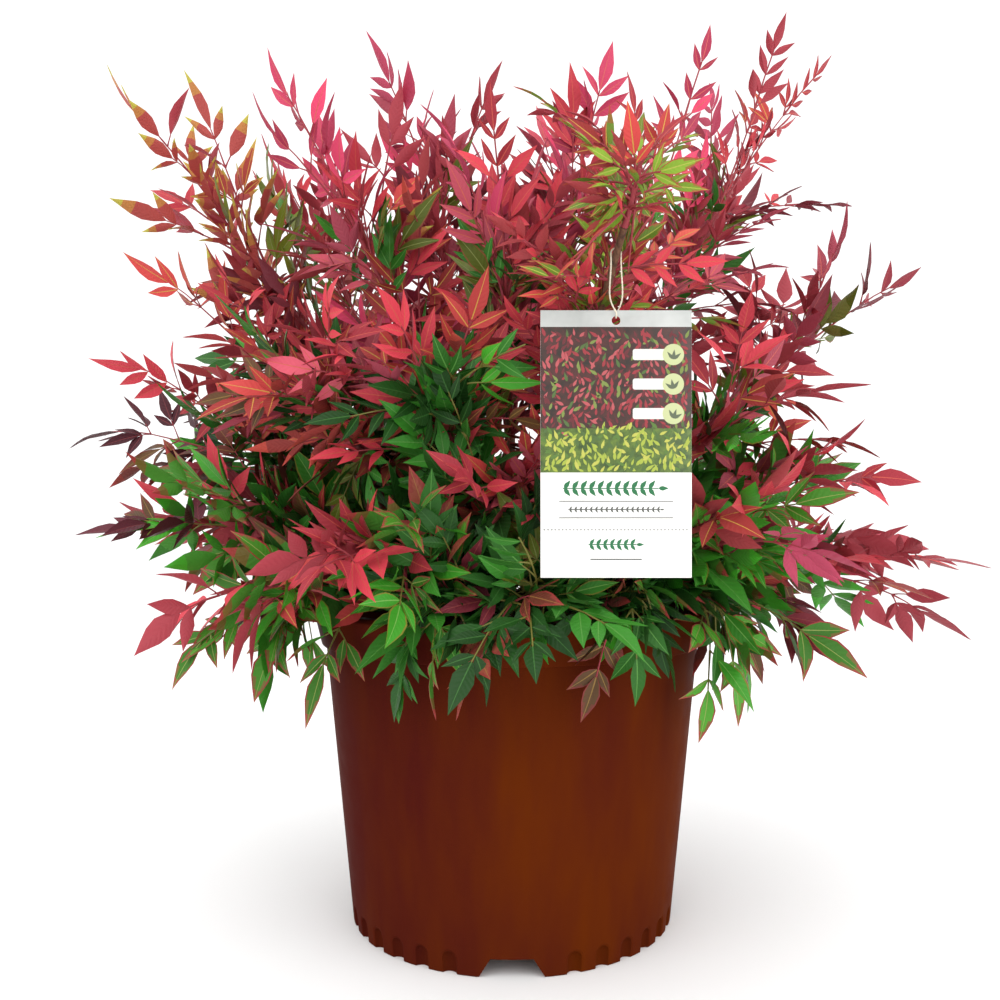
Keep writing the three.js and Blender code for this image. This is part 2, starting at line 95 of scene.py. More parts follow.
# What a mass has unless its tier or its own looks say otherwise: its cane's and its stem's length and its
# three main sprays' starts and lengths as shares of its reach, then what only grows here.
USUAL = {
    "cane_share": 0.45, "stem_share": 0.62, "spray_shares": (0.97, 0.6, 0.3), "spray_reaches": (1, 0.9, 0.7),
    "over_rim": False, "leaf_scale": 1, "cane_lift": 0, "stem_twigs": 0,
}

# The first lines of a tier are the solids'. The others tell what only grows here: how many finer sprays
# there are and how far they keep down (sink), how many more leave the cane, the distance between pairs of
# side twigs (node_step), the angles at which twigs and leaflets leave (pair, aim), the leaflets' lengths and
# their width, how far twigs hang (droop), the side twigs' length and joints, and how far leaflets turn from
# the light. Tints are told for each mass by spray, the main ones first. At a spray's foot, up to inner_to of
# its length, inner tints are mixed in.
TIERS = (
    {
        "name": "top", "on_cane": True, "foot": 9, "launch": 84, "spread": 9, "swing": 55,
        "azimuths": (-70, 60), "rises": (76, 78), "reaches": (376, 366),
        "fine": 6, "sink": 0.5, "cane_sprays": 2, "node_step": 18, "pair": 36, "aim": (30, 46),
        "leaflet": (29, 41), "width": 0.28, "droop": 0.0, "stalk": 22, "joint_step": 18,
        "turn": 90, "inner": ("crimson", "wine", "olive"), "inner_to": 0.34,
        "tints": (
            "pink crimson crimson pink rose pink crimson rose pink crimson rose",
            "pink rose pink crimson rose pink pink flame pink rose crimson",
        ),
    },
    {
        "name": "upper", "on_cane": True, "foot": 20, "launch": 63, "spread": 11, "swing": 16,
        "azimuths": (-2, 50, 88, 124, 180, 236, 274, 306),
        "rises": (58, 62, 59, 52, 61, 51, 48, 60),
        "reaches": (326, 376, 436, 428, 420, 425, 440, 375),
        "fine": 6, "sink": 0.5, "cane_sprays": 3, "node_step": 19, "pair": 38, "aim": (30, 46),
        "leaflet": (30, 43), "width": 0.28, "droop": 0.05, "stalk": 24, "joint_step": 19,
        "turn": 100, "inner": ("crimson", "wine", "olive", "green"), "inner_to": 0.34,
        "tints": (
            "crimson rose crimson pink crimson rose deep pink crimson rose green rose crimson deep rose",
            "pink olive rose crimson crimson rose pink crimson rose",
            "crimson pink rose crimson wine crimson rose crimson pink",
            "crimson pink rose wine pink crimson rose olive crimson pink",
            "crimson pink wine rose crimson pink olive crimson rose",
            "scarlet crimson wine flame crimson scarlet crimson olive scarlet",
            "flame flame scarlet crimson flame crimson flame scarlet wine olive crimson",
            "pink crimson scarlet pink crimson rose flame crimson pink scarlet",
        ),
    },
    {
        "name": "middle", "on_cane": True, "foot": 31, "launch": 42, "spread": 12, "swing": 18,
        "azimuths": (17.4, 55, 97, 150, 210, 272, 311, 341),
        "rises": (44, 27, 35, 36, 36, 38, 32, 34),
        "reaches": (350, 276, 384, 370, 370, 346, 290, 266),
        "fine": 9, "sink": 0.38, "cane_sprays": 3, "node_step": 20, "pair": 42, "aim": (34, 50),
        "leaflet": (31, 44), "width": 0.3, "droop": 0.16, "stalk": 27, "joint_step": 20,
        "turn": 120, "inner": ("green", "russet", "deep"), "inner_to": 0.34,
        "tints": (
            "amber amber coral crimson amber amber amber crimson amber amber scarlet turning amber crimson "
            "amber amber amber scarlet amber coral amber crimson amber amber",
            "crimson rose pink crimson rose turning crimson rose green wine scarlet crimson deep",
            "wine crimson scarlet rose crimson rose green scarlet crimson deep",
            "scarlet crimson wine rose crimson green deep russet crimson",
            "crimson rose wine scarlet crimson green deep russet scarlet",
            "scarlet crimson coral flame crimson scarlet wine green crimson scarlet",
            "scarlet crimson coral green scarlet dusk crimson rose green scarlet wine deep green coral "
            "olive deep",
            "crimson scarlet coral crimson green rose scarlet deep crimson coral deep scarlet dusk crimson "
            "coral green olive scarlet deep olive crimson",
        ),
    },
    {
        "name": "low", "on_cane": False, "launch": 20, "spread": 10, "swing": 15, "stem_share": 0.54,
        "azimuths": (-6.5, 45, 78, 91, 135, 180, 225, 261, 280, 304, 330),
        "rises": (18, 3, 12, -8, 7, 6, 8, 20, 5, -8, 2),
        "reaches": (222, 276, 292, 334, 312, 312, 312, 352, 302, 276, 248),
        "fine": 7, "sink": 0.46, "cane_sprays": 0, "node_step": 21, "pair": 44, "aim": (36, 54),
        "leaflet": (33, 48), "width": 0.34, "droop": 0.26, "stalk": 30, "joint_step": 20,
        "turn": 150, "inner": ("deep", "green", "bright", "dusk"), "inner_to": 0.45,
        "tints": (
            "crimson rose green deep crimson green scarlet deep russet green rose deep green crimson deep "
            "green dusk deep",
            "pink turning turning crimson bright scarlet bright green crimson deep bright green dusk",
            "crimson turning turning crimson bright rose bright green deep",
            "crimson crimson turning crimson rose crimson turning wine bright green",
            "crimson green rose bright crimson deep russet deep crimson",
            "bright crimson green crimson rose deep russet deep green",
            "crimson bright green russet crimson deep rose bright green",
            "maroon crimson maroon maroon russet bright green deep bright deep crimson dusk",
            "maroon turning crimson crimson bright scarlet bright russet crimson green scarlet deep bright",
            "crimson turning bright turning crimson turning bright maroon turning crimson bright "
            "turning deep",
            "crimson turning scarlet crimson bright scarlet green crimson turning deep green bright",
        ),
    },
    {
        "name": "skirt", "on_cane": False, "over_rim": True, "launch": 8, "spread": 5, "swing": 13,
        "spray_shares": (0.97, 0.9, 0.83), "spray_reaches": (1, 0.98, 0.96),
        "azimuths": (-16, 3.5, 27, 60, 104, 155, 205, 292),
        "rises": (-27, -13, -25, -32, -21, -22, -22, -25),
        "reaches": (190, 236, 188, 202, 220, 212, 212, 204),
        "fine": 6, "sink": 0.5, "cane_sprays": 0, "node_step": 18, "pair": 46, "aim": (36, 52),
        "leaflet": (31, 45), "width": 0.35, "droop": 0.16, "stalk": 26, "joint_step": 19,
        "turn": 100, "inner": ("deep", "green"), "inner_to": 0.34,
        "tints": (
            "turning deep green deep russet green deep deep dusk",
            "deep green deep russet green deep olive deep green",
            "green deep dusk turning deep russet deep deep green",
            "turning bright turning green dusk russet deep bright dusk",
            "turning green dusk bright green deep crimson deep",
            "green bright deep turning green deep crimson deep",
            "bright green deep green turning deep dusk deep",
            "turning turning bright bright turning dusk bright deep crimson",
        ),
    },
)
# Masses that differ from their tier in what is grown here.
OWN_LOOKS = {
    "top_2": {"fine": 5},
    "upper_1": {"leaf_scale": 0.85, "fine": 8},
    "upper_2": {"leaf_scale": 0.74, "fine": 4, "cane_sprays": 2},
    "upper_3": {"leaf_scale": 0.68, "fine": 5, "cane_sprays": 1},
    "upper_4": {"fine": 2, "cane_sprays": 2},
    "upper_6": {"leaf_scale": 0.9, "fine": 4},
    "upper_7": {"fine": 4, "inner": ("flame", "wine", "olive")},
    "upper_8": {"fine": 5},
    "middle_1": {
        "leaf_scale": 0.62, "fine": 4, "cane_sprays": 15, "cane_lift": 9, "stem_twigs": 14,
        "inner": ("amber", "amber", "scarlet", "amber", "crimson"),
    },
    "middle_2": {"leaf_scale": 0.92, "fine": 7, "inner": ("green", "bright", "deep"), "inner_to": 0.5},
    "middle_3": {
        "fine": 4, "cane_sprays": 1, "inner": ("olive", "turning", "crimson", "wine"), "inner_to": 0.62,
    },
    "middle_6": {"leaf_scale": 0.94, "fine": 6},
    "middle_7": {"leaf_scale": 0.88, "fine": 12},
    "middle_8": {"leaf_scale": 0.8, "fine": 15, "fan": 25},
    "low_1": {"leaf_scale": 0.78, "fine": 15, "sink": 0.2, "fan": 21},
    "low_2": {
        "leaf_scale": 0.95, "fine": 9, "inner": ("bright", "green", "bright", "turning"), "inner_to": 0.64,
    },
    "low_3": {"fine": 6, "inner": ("bright", "green", "turning"), "inner_to": 0.58},
    "low_4": {"fine": 7, "inner": ("bright", "green", "dusk"), "inner_to": 0.5},
    "low_8": {"leaf_scale": 0.82, "fine": 9},
    "low_9": {"fine": 10, "inner_to": 0.5},
    "low_10": {"leaf_scale": 0.92, "fine": 10, "sink": 0.78, "inner_to": 0.5},
    "low_11": {"leaf_scale": 0.85, "fine": 9},
    "skirt_1": {"leaf_scale": 0.9},
    "skirt_2": {"leaf_scale": 0.85},
    "skirt_3": {"leaf_scale": 0.9},
}

# ---- Sizes of what is finer here than in the solids ----------------------------------------------

FLUTE = {"radius": 5, "outside": 0.8, "top": 14.6, "edge_radius": 6.1, "edge_depth": 0.9, "depth_below": 30}
NOTCH_BELOW = 2  # how far a notch's cutter reaches below the foot
THIN = 1.9  # a cane's radius at its tip, where it runs on into its twigs
CANE_STEP, CANE_SIDES, CANE_FLARE, RING_STEP = 2.2, 12, 1.12, 17
STEM_RADII = {True: (THIN, 1.0), False: (2.5, 1.4)}  # from root to tip, on a cane and off the stool
STEM_STEPS, SPRAY_STEPS = 14, 8
SPRAY_RADII, TWIG_RADII = (1.25, 0.5), (0.8, 0.5, 0.5, 0.3)
GOLDEN_TURN = 137.5
SOIL = {"edge": 190, "shoulder": 186, "flat": 12, "fall": 3, "rings": 26}
CHIPS = {"count": 900, "inner": 52, "outer": 124, "grit_share": 0.12, "grit": "B8B0A0"}
THREAD = {"radius": 0.42, "bow": 1.3, "steps": 220, "sides": 8, "ply": 0.14, "lay": 0.9}
# Room that leaflets leave free, and how far they may pass the solids' box.
POT_ROOM = {"above": 2, "beside": 2, "ground": 20}
TAG_ROOM = {"side": 6, "above": 6, "below": 8, "behind": 5, "thread": 8}
BOX_ROOM = 9

# ---- Leaf colours --------------------------------------------------------------------------------

# A leaf tint is the colour of its blade, margin, midrib, underside and tip.
TINTS = {
    "pink": ("BE3C5C", "BE3C5C", "C05A54", "B4445E", "BE3C5C"),
    "crimson": ("B43642", "B43642", "BE5446", "A23E48", "B43642"),
    "rose": ("B64C5C", "B64C5C", "C05E50", "A84858", "B64C5C"),
    "wine": ("88303C", "88303C", "984644", "7A343E", "88303C"),
    "scarlet": ("B03C3A", "B03C3A", "C09244", "9E3E42", "B03C3A"),
    "coral": ("B44A40", "A23634", "B48E42", "A04440", "B44A40"),
    "flame": ("B4463E", "B8803A", "C49A48", "A84A46", "BAB04A"),
    "amber": ("72902C", "A8483A", "A4AC4A", "6C8832", "A8483A"),
    "russet": ("7C3E30", "903432", "986A3C", "743C36", "903432"),
    "maroon": ("54222C", "54222C", "74363A", "4E242A", "54222C"),
    "bright": ("3C8E26", "767428", "70A24C", "448A2E", "3C8E26"),
    "green": ("306E22", "306E22", "568C40", "36722A", "306E22"),
    "deep": ("1F4818", "1F4818", "38642E", "2E5624", "1F4818"),
    "olive": ("606E22", "7E4E2C", "808A4A", "6E783A", "606E22"),
    "turning": ("428224", "903432", "88964E", "46842E", "9C3E3A"),
    "dusk": ("583E26", "7A3230", "886A38", "5A4832", "7A3230"),
}
# The tint that some of a spray's side twigs take instead.
KIN = {
    "pink": "rose", "crimson": "scarlet", "rose": "crimson", "wine": "crimson", "scarlet": "coral",
    "coral": "rose", "flame": "crimson", "amber": "scarlet", "russet": "wine", "maroon": "dusk",
    "bright": "turning", "green": "bright", "deep": "green", "olive": "turning", "turning": "bright",
    "dusk": "russet",
}
KIN_SHARE, INNER_SHARE = 0.22, 0.7
GREENS = ("green", "deep", "bright", "olive", "turning")
SHADES = (0.86, 1, 1.13)  # a blade's colour varies a little from twig to twig
LEAF_GLOSS = {"red": 0.46, "green": 0.4}


def channels(code):
    """Six hex digits as red, green and blue up to 255."""
    return [int(code[i : i + 2], 16) for i in (0, 2, 4)]


def hex_digits(values):
    """Red, green and blue up to 255 as six hex digits."""
    return "".join(f"{value:02X}" for value in values)


def linear(code):
    """The colour of six hex digits as linear red, green and blue."""
    shares = [value / 255 for value in channels(code)]
    return tuple(v / 12.92 if v <= 0.04045 else ((v + 0.055) / 1.055) ** 2.4 for v in shares)


def shaded(code, factor):
    """Six hex digits made a little darker or lighter."""
    return hex_digits(min(255, round(value * factor)) for value in channels(code))


def blended(first, second):
    """The colour half way between two."""
    return hex_digits((a + b) // 2 for a, b in zip(channels(first), channels(second)))


def leaf_codes(tint, shade):
    """The six colours of a leaflet: blade, margin, midrib, underside, tip and where the blade turns to it."""
    blade, margin, rib, under, tip = TINTS[tint]
    body = shaded(blade, SHADES[shade])
    ends = (body, body) if tip == blade else (tip, blended(blade, tip))
    return body, body if margin == blade else margin, rib, under, *ends


# ---- Settings that a user would change -----------------------------------------------------------


def colour_property(label, note, code):
    return bpy.props.FloatVectorProperty(
        name=label, description=note, subtype="COLOR", size=3, min=0, max=1, default=linear(code)
    )


class PotSettings(bpy.types.PropertyGroup):
    steps: bpy.props.IntProperty(
        name="Steps round", description="Steps round the pot and its mix", default=144, min=36, max=288
    )
    plastic: colour_property("Plastic", "Colour of the pot's moulded plastic", "5A2407")
    # The deep plastic colour is used for the flow streaks and also for the painted shade on the pot's left
    # side.
    plastic_deep_and_shade: colour_property("Plastic, deep", "Darker flow streaks in the plastic", "481610")
    soil: colour_property("Potting mix", "Colour of the damp potting mix", "2A1C14")
    chip: colour_property("Bark chip", "Colour of the chips in the potting mix", "5C3E28")


class PlantSettings(bpy.types.PropertyGroup):
    bark: colour_property("Bark", "Colour of the canes' bark", "6E4A34")
    furrow: colour_property("Furrow", "Colour in the bark's furrows", "3C2519")
    stalk: colour_property("Stalk", "Colour of the leaf stalks", "963A42")
    stalk_green: colour_property("Green stalk", "Colour of the green leaves' stalks", "6E6A30")
    leaf_width: bpy.props.FloatProperty(
        name="Leaflet width", description="Width of leaflets against their usual one",
        default=1, min=0.5, max=1.6,
    )
    leaf_thickness: bpy.props.FloatProperty(
        name="Leaflet thickness", description="Thickness at the midrib",
        default=0.0005, unit="LENGTH", precision=5,
    )


class TagSettings(bpy.types.PropertyGroup):
    card: colour_property("Card", "Colour of the tag's plain card", "F4F3EF")
    disc: colour_property("Disc", "Colour of the plain discs on the tag", "B9C08E")
    thread: colour_property("Thread", "Colour of the loop's thread", "E8DDC6")


class StageSettings(bpy.types.PropertyGroup):
    floor: colour_property("Floor", "Colour of the plain floor", "F8F8F8")
    key_power: bpy.props.FloatProperty(
        name="Key light", description="Power of the large soft light", default=22, min=0, unit="POWER"
    )
    sky: bpy.props.FloatProperty(
        name="Surround", description="Brightness of the white surround", default=1.2, min=0, max=5
    )


# ---- Numbers, directions and curves --------------------------------------------------------------


def seeded(seed):
    """Numbers from 0 up to 1, the same on every run and the same as in the solids."""
    state = (seed * 2654435761) & 0xFFFFFFFF

    def draw():
        nonlocal state
        state = (state * 1664525 + 1013904223) & 0xFFFFFFFF
        return state / 4294967296

    draw()
    return draw


def heading(azimuth, rise):
    """The unit vector at an azimuth, which is 0 at the front, and a rise."""
    a, r = math.radians(azimuth), math.radians(rise)
    return Vector((math.cos(r) * math.sin(a), -math.cos(r) * math.cos(a), math.sin(r)))


def placed(azimuth, radius, z):
    """The point at a heading and a distance from the upright axis, and at a height."""
    point = heading(azimuth, 0) * radius
    point.z = z
    return point


def square_to(line, way):
    """The part of way that is square to line, as a unit vector."""
    return (way - line * way.dot(line)).normalized()


def turned_about(way, axis, degrees):
    """A direction turned about an axis."""
    return Quaternion(axis, math.radians(degrees)) @ way


def mix(a, b, share):
    """The number or point between two, at a share of the way."""
    return a + (b - a) * share


def either_way(draw, span):
    """A number that lies evenly about nought, within half the span."""
    return (draw() - 0.5) * span


class Bow:
    """A quadratic curve through three points, read by share of its length."""

    SAMPLES = 60

    def __init__(self, start, middle, end):
        self.points = (start, middle, end)
        marks = [self._at(i / self.SAMPLES) for i in range(self.SAMPLES + 1)]
        self.sums = [0.0]
        for a, b in zip(marks, marks[1:]):
            self.sums.append(self.sums[-1] + (b - a).length)
        self.length = self.sums[-1]

    def _at(self, t):
        """The point at a value of the curve's own parameter."""
        a, b, c = self.points
        return a * (1 - t) ** 2 + b * (2 * t * (1 - t)) + c * t**2

    def _place(self, share):
        """The curve's parameter at a share of its length."""
        wanted = min(max(share, 0), 1) * self.length
        for i in range(1, self.SAMPLES + 1):
            if self.sums[i] >= wanted:
                break
        step = self.sums[i] - self.sums[i - 1]
        return (i - 1 + (wanted - self.sums[i - 1]) / step) / self.SAMPLES

    def point(self, share):
        return self._at(self._place(share))

    def way(self, share):
        """The direction at a share of the length."""
        t = self._place(share)
        a, b, c = self.points
        return ((b - a) * (1 - t) + (c - b) * t).normalized()

    def line(self, steps):
        return [self.point(i / steps) for i in range(steps + 1)]


def axis_point(bow, share, steps):
    """The point of a limb's axis: in the solids a limb is straight between its steps."""
    step = min(int(share * steps), steps - 1)
    return mix(bow.point(step / steps), bow.point((step + 1) / steps), share * steps - step)


# ---- Modelling -----------------------------------------------------------------------------------


def clear_selection():
    if bpy.context.object and bpy.context.object.mode != "OBJECT":
        bpy.ops.object.mode_set(mode="OBJECT")
    bpy.ops.object.select_all(action="DESELECT")


def pick(obj):
    """Selects one object alone and makes it the active one."""
    clear_selection()
    obj.select_set(True)
    bpy.context.view_layer.objects.active = obj


def apply_modifiers(obj):
    pick(obj)
    for modifier in list(obj.modifiers):
        bpy.ops.object.modifier_apply(modifier=modifier.name)


def bevelled(obj, width, segments, degrees=30):
    """Rounds the edges that are sharper than the angle."""
    bevel = obj.modifiers.new("bevel", "BEVEL")
    bevel.width, bevel.segments = width * MM, segments
    bevel.limit_method, bevel.angle_limit = "ANGLE", math.radians(degrees)
    apply_modifiers(obj)


def cut_away(obj, cutter):
    """Cuts a closed shape out of an object and removes the cutter."""
    cut = obj.modifiers.new("cut", "BOOLEAN")
    cut.operation, cut.object, cut.solver = "DIFFERENCE", cutter, "EXACT"
    apply_modifiers(obj)
    bpy.data.objects.remove(cutter)


def joined(objects):
    """Several objects as one."""
    clear_selection()
    for obj in objects:
        obj.select_set(True)
    bpy.context.view_layer.objects.active = objects[0]
    bpy.ops.object.join()
    return bpy.context.object


def dress(obj, *materials):
    """Gives an object these materials and no others."""
    obj.data.materials.clear()
    for material in materials:
        obj.data.materials.append(material)


def smooth(obj, degrees):
    """Shades an object smooth, apart from edges sharper than the angle."""
    pick(obj)
    bpy.ops.object.shade_smooth_by_angle(angle=math.radians(degrees))


def settle(obj, name, nodes):
    """Gives a finished piece its name and its body, and hides the solids' nodes that it stands for."""
    obj.name = obj.data.name = name
    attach(obj, "root")
    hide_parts(*nodes)


def mesh_object(name, points, faces, materials, indices=None, coords=None):
    """An object from points in millimetres, faces (a list, or all their corners and where each one's start),
    a material index for each face and a place on the blade for each corner."""
    mesh = bpy.data.meshes.new(name)
    if isinstance(faces, tuple):
        loops, starts = faces
        mesh.vertices.add(len(points))
        mesh.vertices.foreach_set("co", (np.asarray(points, np.float32) * MM).ravel())
        mesh.loops.add(len(loops))
        mesh.loops.foreach_set("vertex_index", loops.astype(np.int32))
        mesh.polygons.add(len(starts))
        mesh.polygons.foreach_set("loop_start", starts.astype(np.int32))
        mesh.update(calc_edges=True)
    else:
        mesh.from_pydata([[c * MM for c in p] for p in points], [], faces)
    for material in materials:
        mesh.materials.append(material)
    if indices is not None:
        mesh.polygons.foreach_set("material_index", np.asarray(indices, np.int32))
    if coords is not None:
        layer = mesh.uv_layers.new(name="Blade")
        layer.uv.foreach_set("vector", np.asarray(coords, np.float32).ravel())
    mesh.validate()
    obj = bpy.data.objects.new(name, mesh)
    bpy.context.scene.collection.objects.link(obj)
    return obj


# ---- Finishes ------------------------------------------------------------------------------------


class Finish:
    """A material whose nodes are laid out one after another."""

    def __init__(self, name):
        self.material = bpy.data.materials.new(name)
        self.material.use_nodes = True
        self.tree = self.material.node_tree
        self.shader = self.tree.nodes["Principled BSDF"]
        self.place = None

    def add(self, kind, **values):
        node = self.tree.nodes.new(kind)
        for key, value in values.items():
            setattr(node, key, value)
        return node

    def link(self, out, into):
        self.tree.links.new(out, into)

    def coordinates(self, output="Object", scale=None):
        """The piece's coordinates, stretched where a scale is given."""
        if self.place is None:
            self.place = self.add("ShaderNodeTexCoord")
        if scale is None:
            return self.place.outputs[output]
        mapping = self.add("ShaderNodeMapping")
        mapping.inputs["Scale"].default_value = scale
        self.link(self.place.outputs[output], mapping.inputs["Vector"])
        return mapping.outputs["Vector"]

    def split(self, output="Object"):
        """The coordinates one by one, by their letters."""
        node = self.add("ShaderNodeSeparateXYZ")
        self.link(self.coordinates(output), node.inputs[0])
        return node.outputs

    def reckon(self, operation, *values):
        """A sum of sockets and plain numbers."""
        node = self.add("ShaderNodeMath", operation=operation)
        for value, socket in zip(values, node.inputs):
            if isinstance(value, bpy.types.NodeSocket):
                self.link(value, socket)
            else:
                socket.default_value = value
        return node.outputs[0]

    def noise(self, scale, detail=3.0, roughness=0.55, stretch=None):
        """Noise from 0 to 1 on the piece's coordinates."""
        node = self.add("ShaderNodeTexNoise")
        node.inputs["Scale"].default_value = scale
        node.inputs["Detail"].default_value = detail
        node.inputs["Roughness"].default_value = roughness
        self.link(self.coordinates(scale=stretch), node.inputs["Vector"])
        return node.outputs["Fac"]

    def ramp(self, fac, stops):
        """Colours by place, blended between the stops."""
        node = self.add("ShaderNodeValToRGB")
        ramp = node.color_ramp
        while len(ramp.elements) < len(stops):
            ramp.elements.new(0.5)
        for element, (place, colour) in zip(ramp.elements, stops):
            element.position = place
            element.color = (*colour, 1)
        self.link(fac, node.inputs["Fac"])
        return node.outputs["Color"]

    def span(self, fac, low, high, start=0.3, end=0.7):
        """A value from start to end spread out from low to high."""
        node = self.add("ShaderNodeMapRange")
        for key, value in zip(("From Min", "From Max", "To Min", "To Max"), (start, end, low, high)):
            node.inputs[key].default_value = value
        self.link(fac, node.inputs["Value"])
        return node.outputs["Result"]

    def bump(self, height, distance, strength=1.0, after=None):
        """Relief on the surface, over that of after."""
        node = self.add("ShaderNodeBump")
        node.inputs["Strength"].default_value = strength
        node.inputs["Distance"].default_value = distance
        self.link(height, node.inputs["Height"])
        if after is not None:
            self.link(after, node.inputs["Normal"])
        return node.outputs["Normal"]

    def set(self, **values):
        """Sets the shader's sockets, each to a socket, a colour or a number."""
        for key, value in values.items():
            socket = self.shader.inputs[key.replace("_", " ")]
            if isinstance(value, bpy.types.NodeSocket):
                self.link(value, socket)
            elif isinstance(value, tuple) and len(value) == 3:
                socket.default_value = (*value, 1)
            else:
                socket.default_value = value


def moulded_plastic(settings):
    """Plastic with upright flow streaks, and painted shade that makes it darker on its left side."""
    f = Finish("moulded_plastic")
    # Noise for the flow streaks, plus a ramp on X that is painted shade, darkening the pot's left side.
    streaks_and_left_shade = f.reckon("ADD", f.noise(26, 3, 0.6, (1, 1, 0.22)), f.span(f.split()["X"], -0.2, 0.05, -0.13, 0.02))
    colour = f.ramp(streaks_and_left_shade, ((0.25, tuple(settings.plastic_deep_and_shade)), (0.75, tuple(settings.plastic))))
    grain = f.noise(900, 2)
    waves = f.noise(34, 2, 0.5, (1, 1, 0.3))
    normal = f.bump(waves, 0.0006, 0.25, f.bump(grain, 0.0002, 0.35))
    roughness = f.span(f.noise(60, 3), 0.4, 0.52)
    f.set(Base_Color=colour, Roughness=roughness, Normal=normal, Specular_IOR_Level=0.004)
    return f.material


def damp_mix(settings):
    """Damp mix, dark between its crumbs."""
    f = Finish("potting_mix")
    crumbs = f.noise(190, 5, 0.7)
    soil = tuple(settings.soil)
    colour = f.ramp(crumbs, ((0.3, tuple(c * 0.4 for c in soil)), (0.55, soil), (0.72, tuple(settings.chip))))
    f.set(Base_Color=colour, Roughness=f.span(crumbs, 0.8, 0.98), Normal=f.bump(crumbs, 0.002, 0.9))
    return f.material


def chip_bark(name, colour):
    """Bark or grit with dark grooves along its fibres."""
    f = Finish(name)
    fibre = f.noise(240, 4, 0.65, (1, 0.35, 1))
    dark = tuple(c * 0.35 for c in colour)
    f.set(Base_Color=f.ramp(fibre, ((0.3, dark), (0.65, colour))), Roughness=f.span(fibre, 0.75, 0.95))
    f.set(Normal=f.bump(fibre, 0.001, 0.8))
    return f.material


def cane_bark(settings):
    """Bark with long furrows and worn ridges."""
    f = Finish("cane_bark")
    furrows = f.noise(300, 5, 0.7, (1, 1, 0.12))
    patches = f.noise(45, 3, 0.6)
    bark = tuple(settings.bark)
    worn = tuple(min(1, c * 1.7) for c in bark)
    colour = f.ramp(furrows, ((0.34, tuple(settings.furrow)), (0.58, bark), (0.8, worn)))
    f.set(Base_Color=colour, Roughness=f.span(patches, 0.72, 0.92), Normal=f.bump(furrows, 0.0015, 0.8))
    return f.material


def leaf_stalk(name, colour):
    """A smooth stalk with fine lines."""
    f = Finish(name)
    f.set(Base_Color=colour, Roughness=f.span(f.noise(320, 2), 0.4, 0.58), Specular_IOR_Level=0.25)
    f.set(Normal=f.bump(f.noise(1500, 2, 0.5, (1, 1, 0.2)), 0.0002, 0.4))
    return f.material


def leaf_blade(name, colour, gloss):
    """A leaf's own plain colour, with its side veins and a waxy gloss that varies."""
    f = Finish(name)
    blade = f.split("UV")
    slant = f.reckon("MULTIPLY_ADD", f.reckon("ABSOLUTE", blade["X"]), -0.16, blade["Y"])
    veins = f.reckon("SINE", f.reckon("MULTIPLY", slant, 62))
    normal = f.bump(f.noise(420, 3, 0.6), 0.0005, 0.35, f.bump(veins, 0.0002, 0.25))
    f.set(Base_Color=colour, Roughness=f.span(f.noise(150, 3), gloss - 0.05, gloss + 0.1), Normal=normal)
    f.set(Specular_IOR_Level=0.2)
    return f.material


# ---- The skeleton, by the solids' rule -----------------------------------------------------------


def wall_radius(z):
    """The outer radius of the pot's wall at a height."""
    return mix(FOOT_RADIUS, WALL_TOP_RADIUS, z / WALL_TOP)


def inner_radius(z):
    """The potting mix's radius at a height, just clear of the wall."""
    return wall_radius(min(z, WALL_TOP)) - WALL - GAP * 2


def stool_radius(z):
    """The stool's radius at a height: a flare at its foot, then a slow taper."""
    share, flare = (z - STOOL_BASE) / STOOL["height"], STOOL["flare_share"]
    if share < flare:
        return mix(STOOL["flare"], STOOL["neck"], share / flare)
    return mix(STOOL["neck"], STOOL["top"], (share - flare) / (1 - flare))


def cane_bow(mass):
    """A cane's line from the stool towards its mass, inside the crown."""
    foot = placed(mass["azimuth"], mass["foot"], STOOL_TOP + GAP)
    tip = HEART + heading(mass["azimuth"], mass["cane_rise"]) * (mass["reach"] * mass["cane_share"])
    return Bow(foot, mix(foot, tip, 0.5) + UP * ((tip - foot).length * CANE["arch"]), tip)


def stem_bow(mass):
    """A mass's stem: on from its cane's tip, or off the stool's side and over the rim."""
    if mass["cane"]:
        way = mass["cane"].way(1)
        root = mass["cane"].point(1) + way * (GAP * 1.2)
        end = HEART + mass["axis"] * (mass["reach"] * mass["stem_share"])
        return Bow(root, root + way * ((end - root).length * 0.5), end)
    height = STOOL_BASE + STOOL["height"] * STEM["height"]
    root = placed(mass["azimuth"], stool_radius(height - STEM["root"]) + GAP, height)
    rise, along = math.radians(mass["rise"]), mass["reach"] * mass["stem_share"]
    flat = RIM_RADIUS - 6 if mass["over_rim"] else math.cos(rise) * along
    end = placed(mass["azimuth"], flat, max(HEART.z + math.sin(rise) * along, POT_HEIGHT + RIM_ROOM))
    middle = mix(root, end, 0.5)
    middle.z = end.z + STEM["arch"]
    return Bow(root, middle, end)


def spray_plans(mass):
    """The three sprays of the solids, then the finer ones between them."""
    draw = seeded(mass["seed"])
    plans = []
    for k, side in enumerate((0, 1, -1)):
        azimuth = mass["azimuth"] + side * mass["swing"] * (0.7 + 0.5 * draw()) + either_way(draw, 5)
        rise = mass["rise"] + (0, 0.8, -0.8)[k] * mass["spread"] + either_way(draw, 5)
        reach = mass["reach"] * (mass["spray_reaches"][k] + either_way(draw, 0.06) * k)
        plans.append((mass["spray_shares"][k], azimuth, rise, reach, either_way(draw, 2 * ROLL)))
    draw = seeded(mass["seed"] + 7)
    for n in range(mass["fine"]):
        side = (1 if n % 2 else -1) * (0.15 + 1.05 * draw())
        rise = mass["rise"] + (draw() - mass["sink"]) * 2.6 * mass["spread"]
        reach = mass["reach"] * mix(0.96, 0.55, (n + draw()) / mass["fine"])
        share = mix(0.92, 0.25, (n + draw()) / mass["fine"])
        plans.append((share, mass["azimuth"] + side * mass["fan"], rise, reach, either_way(draw, 2 * ROLL)))
    return plans


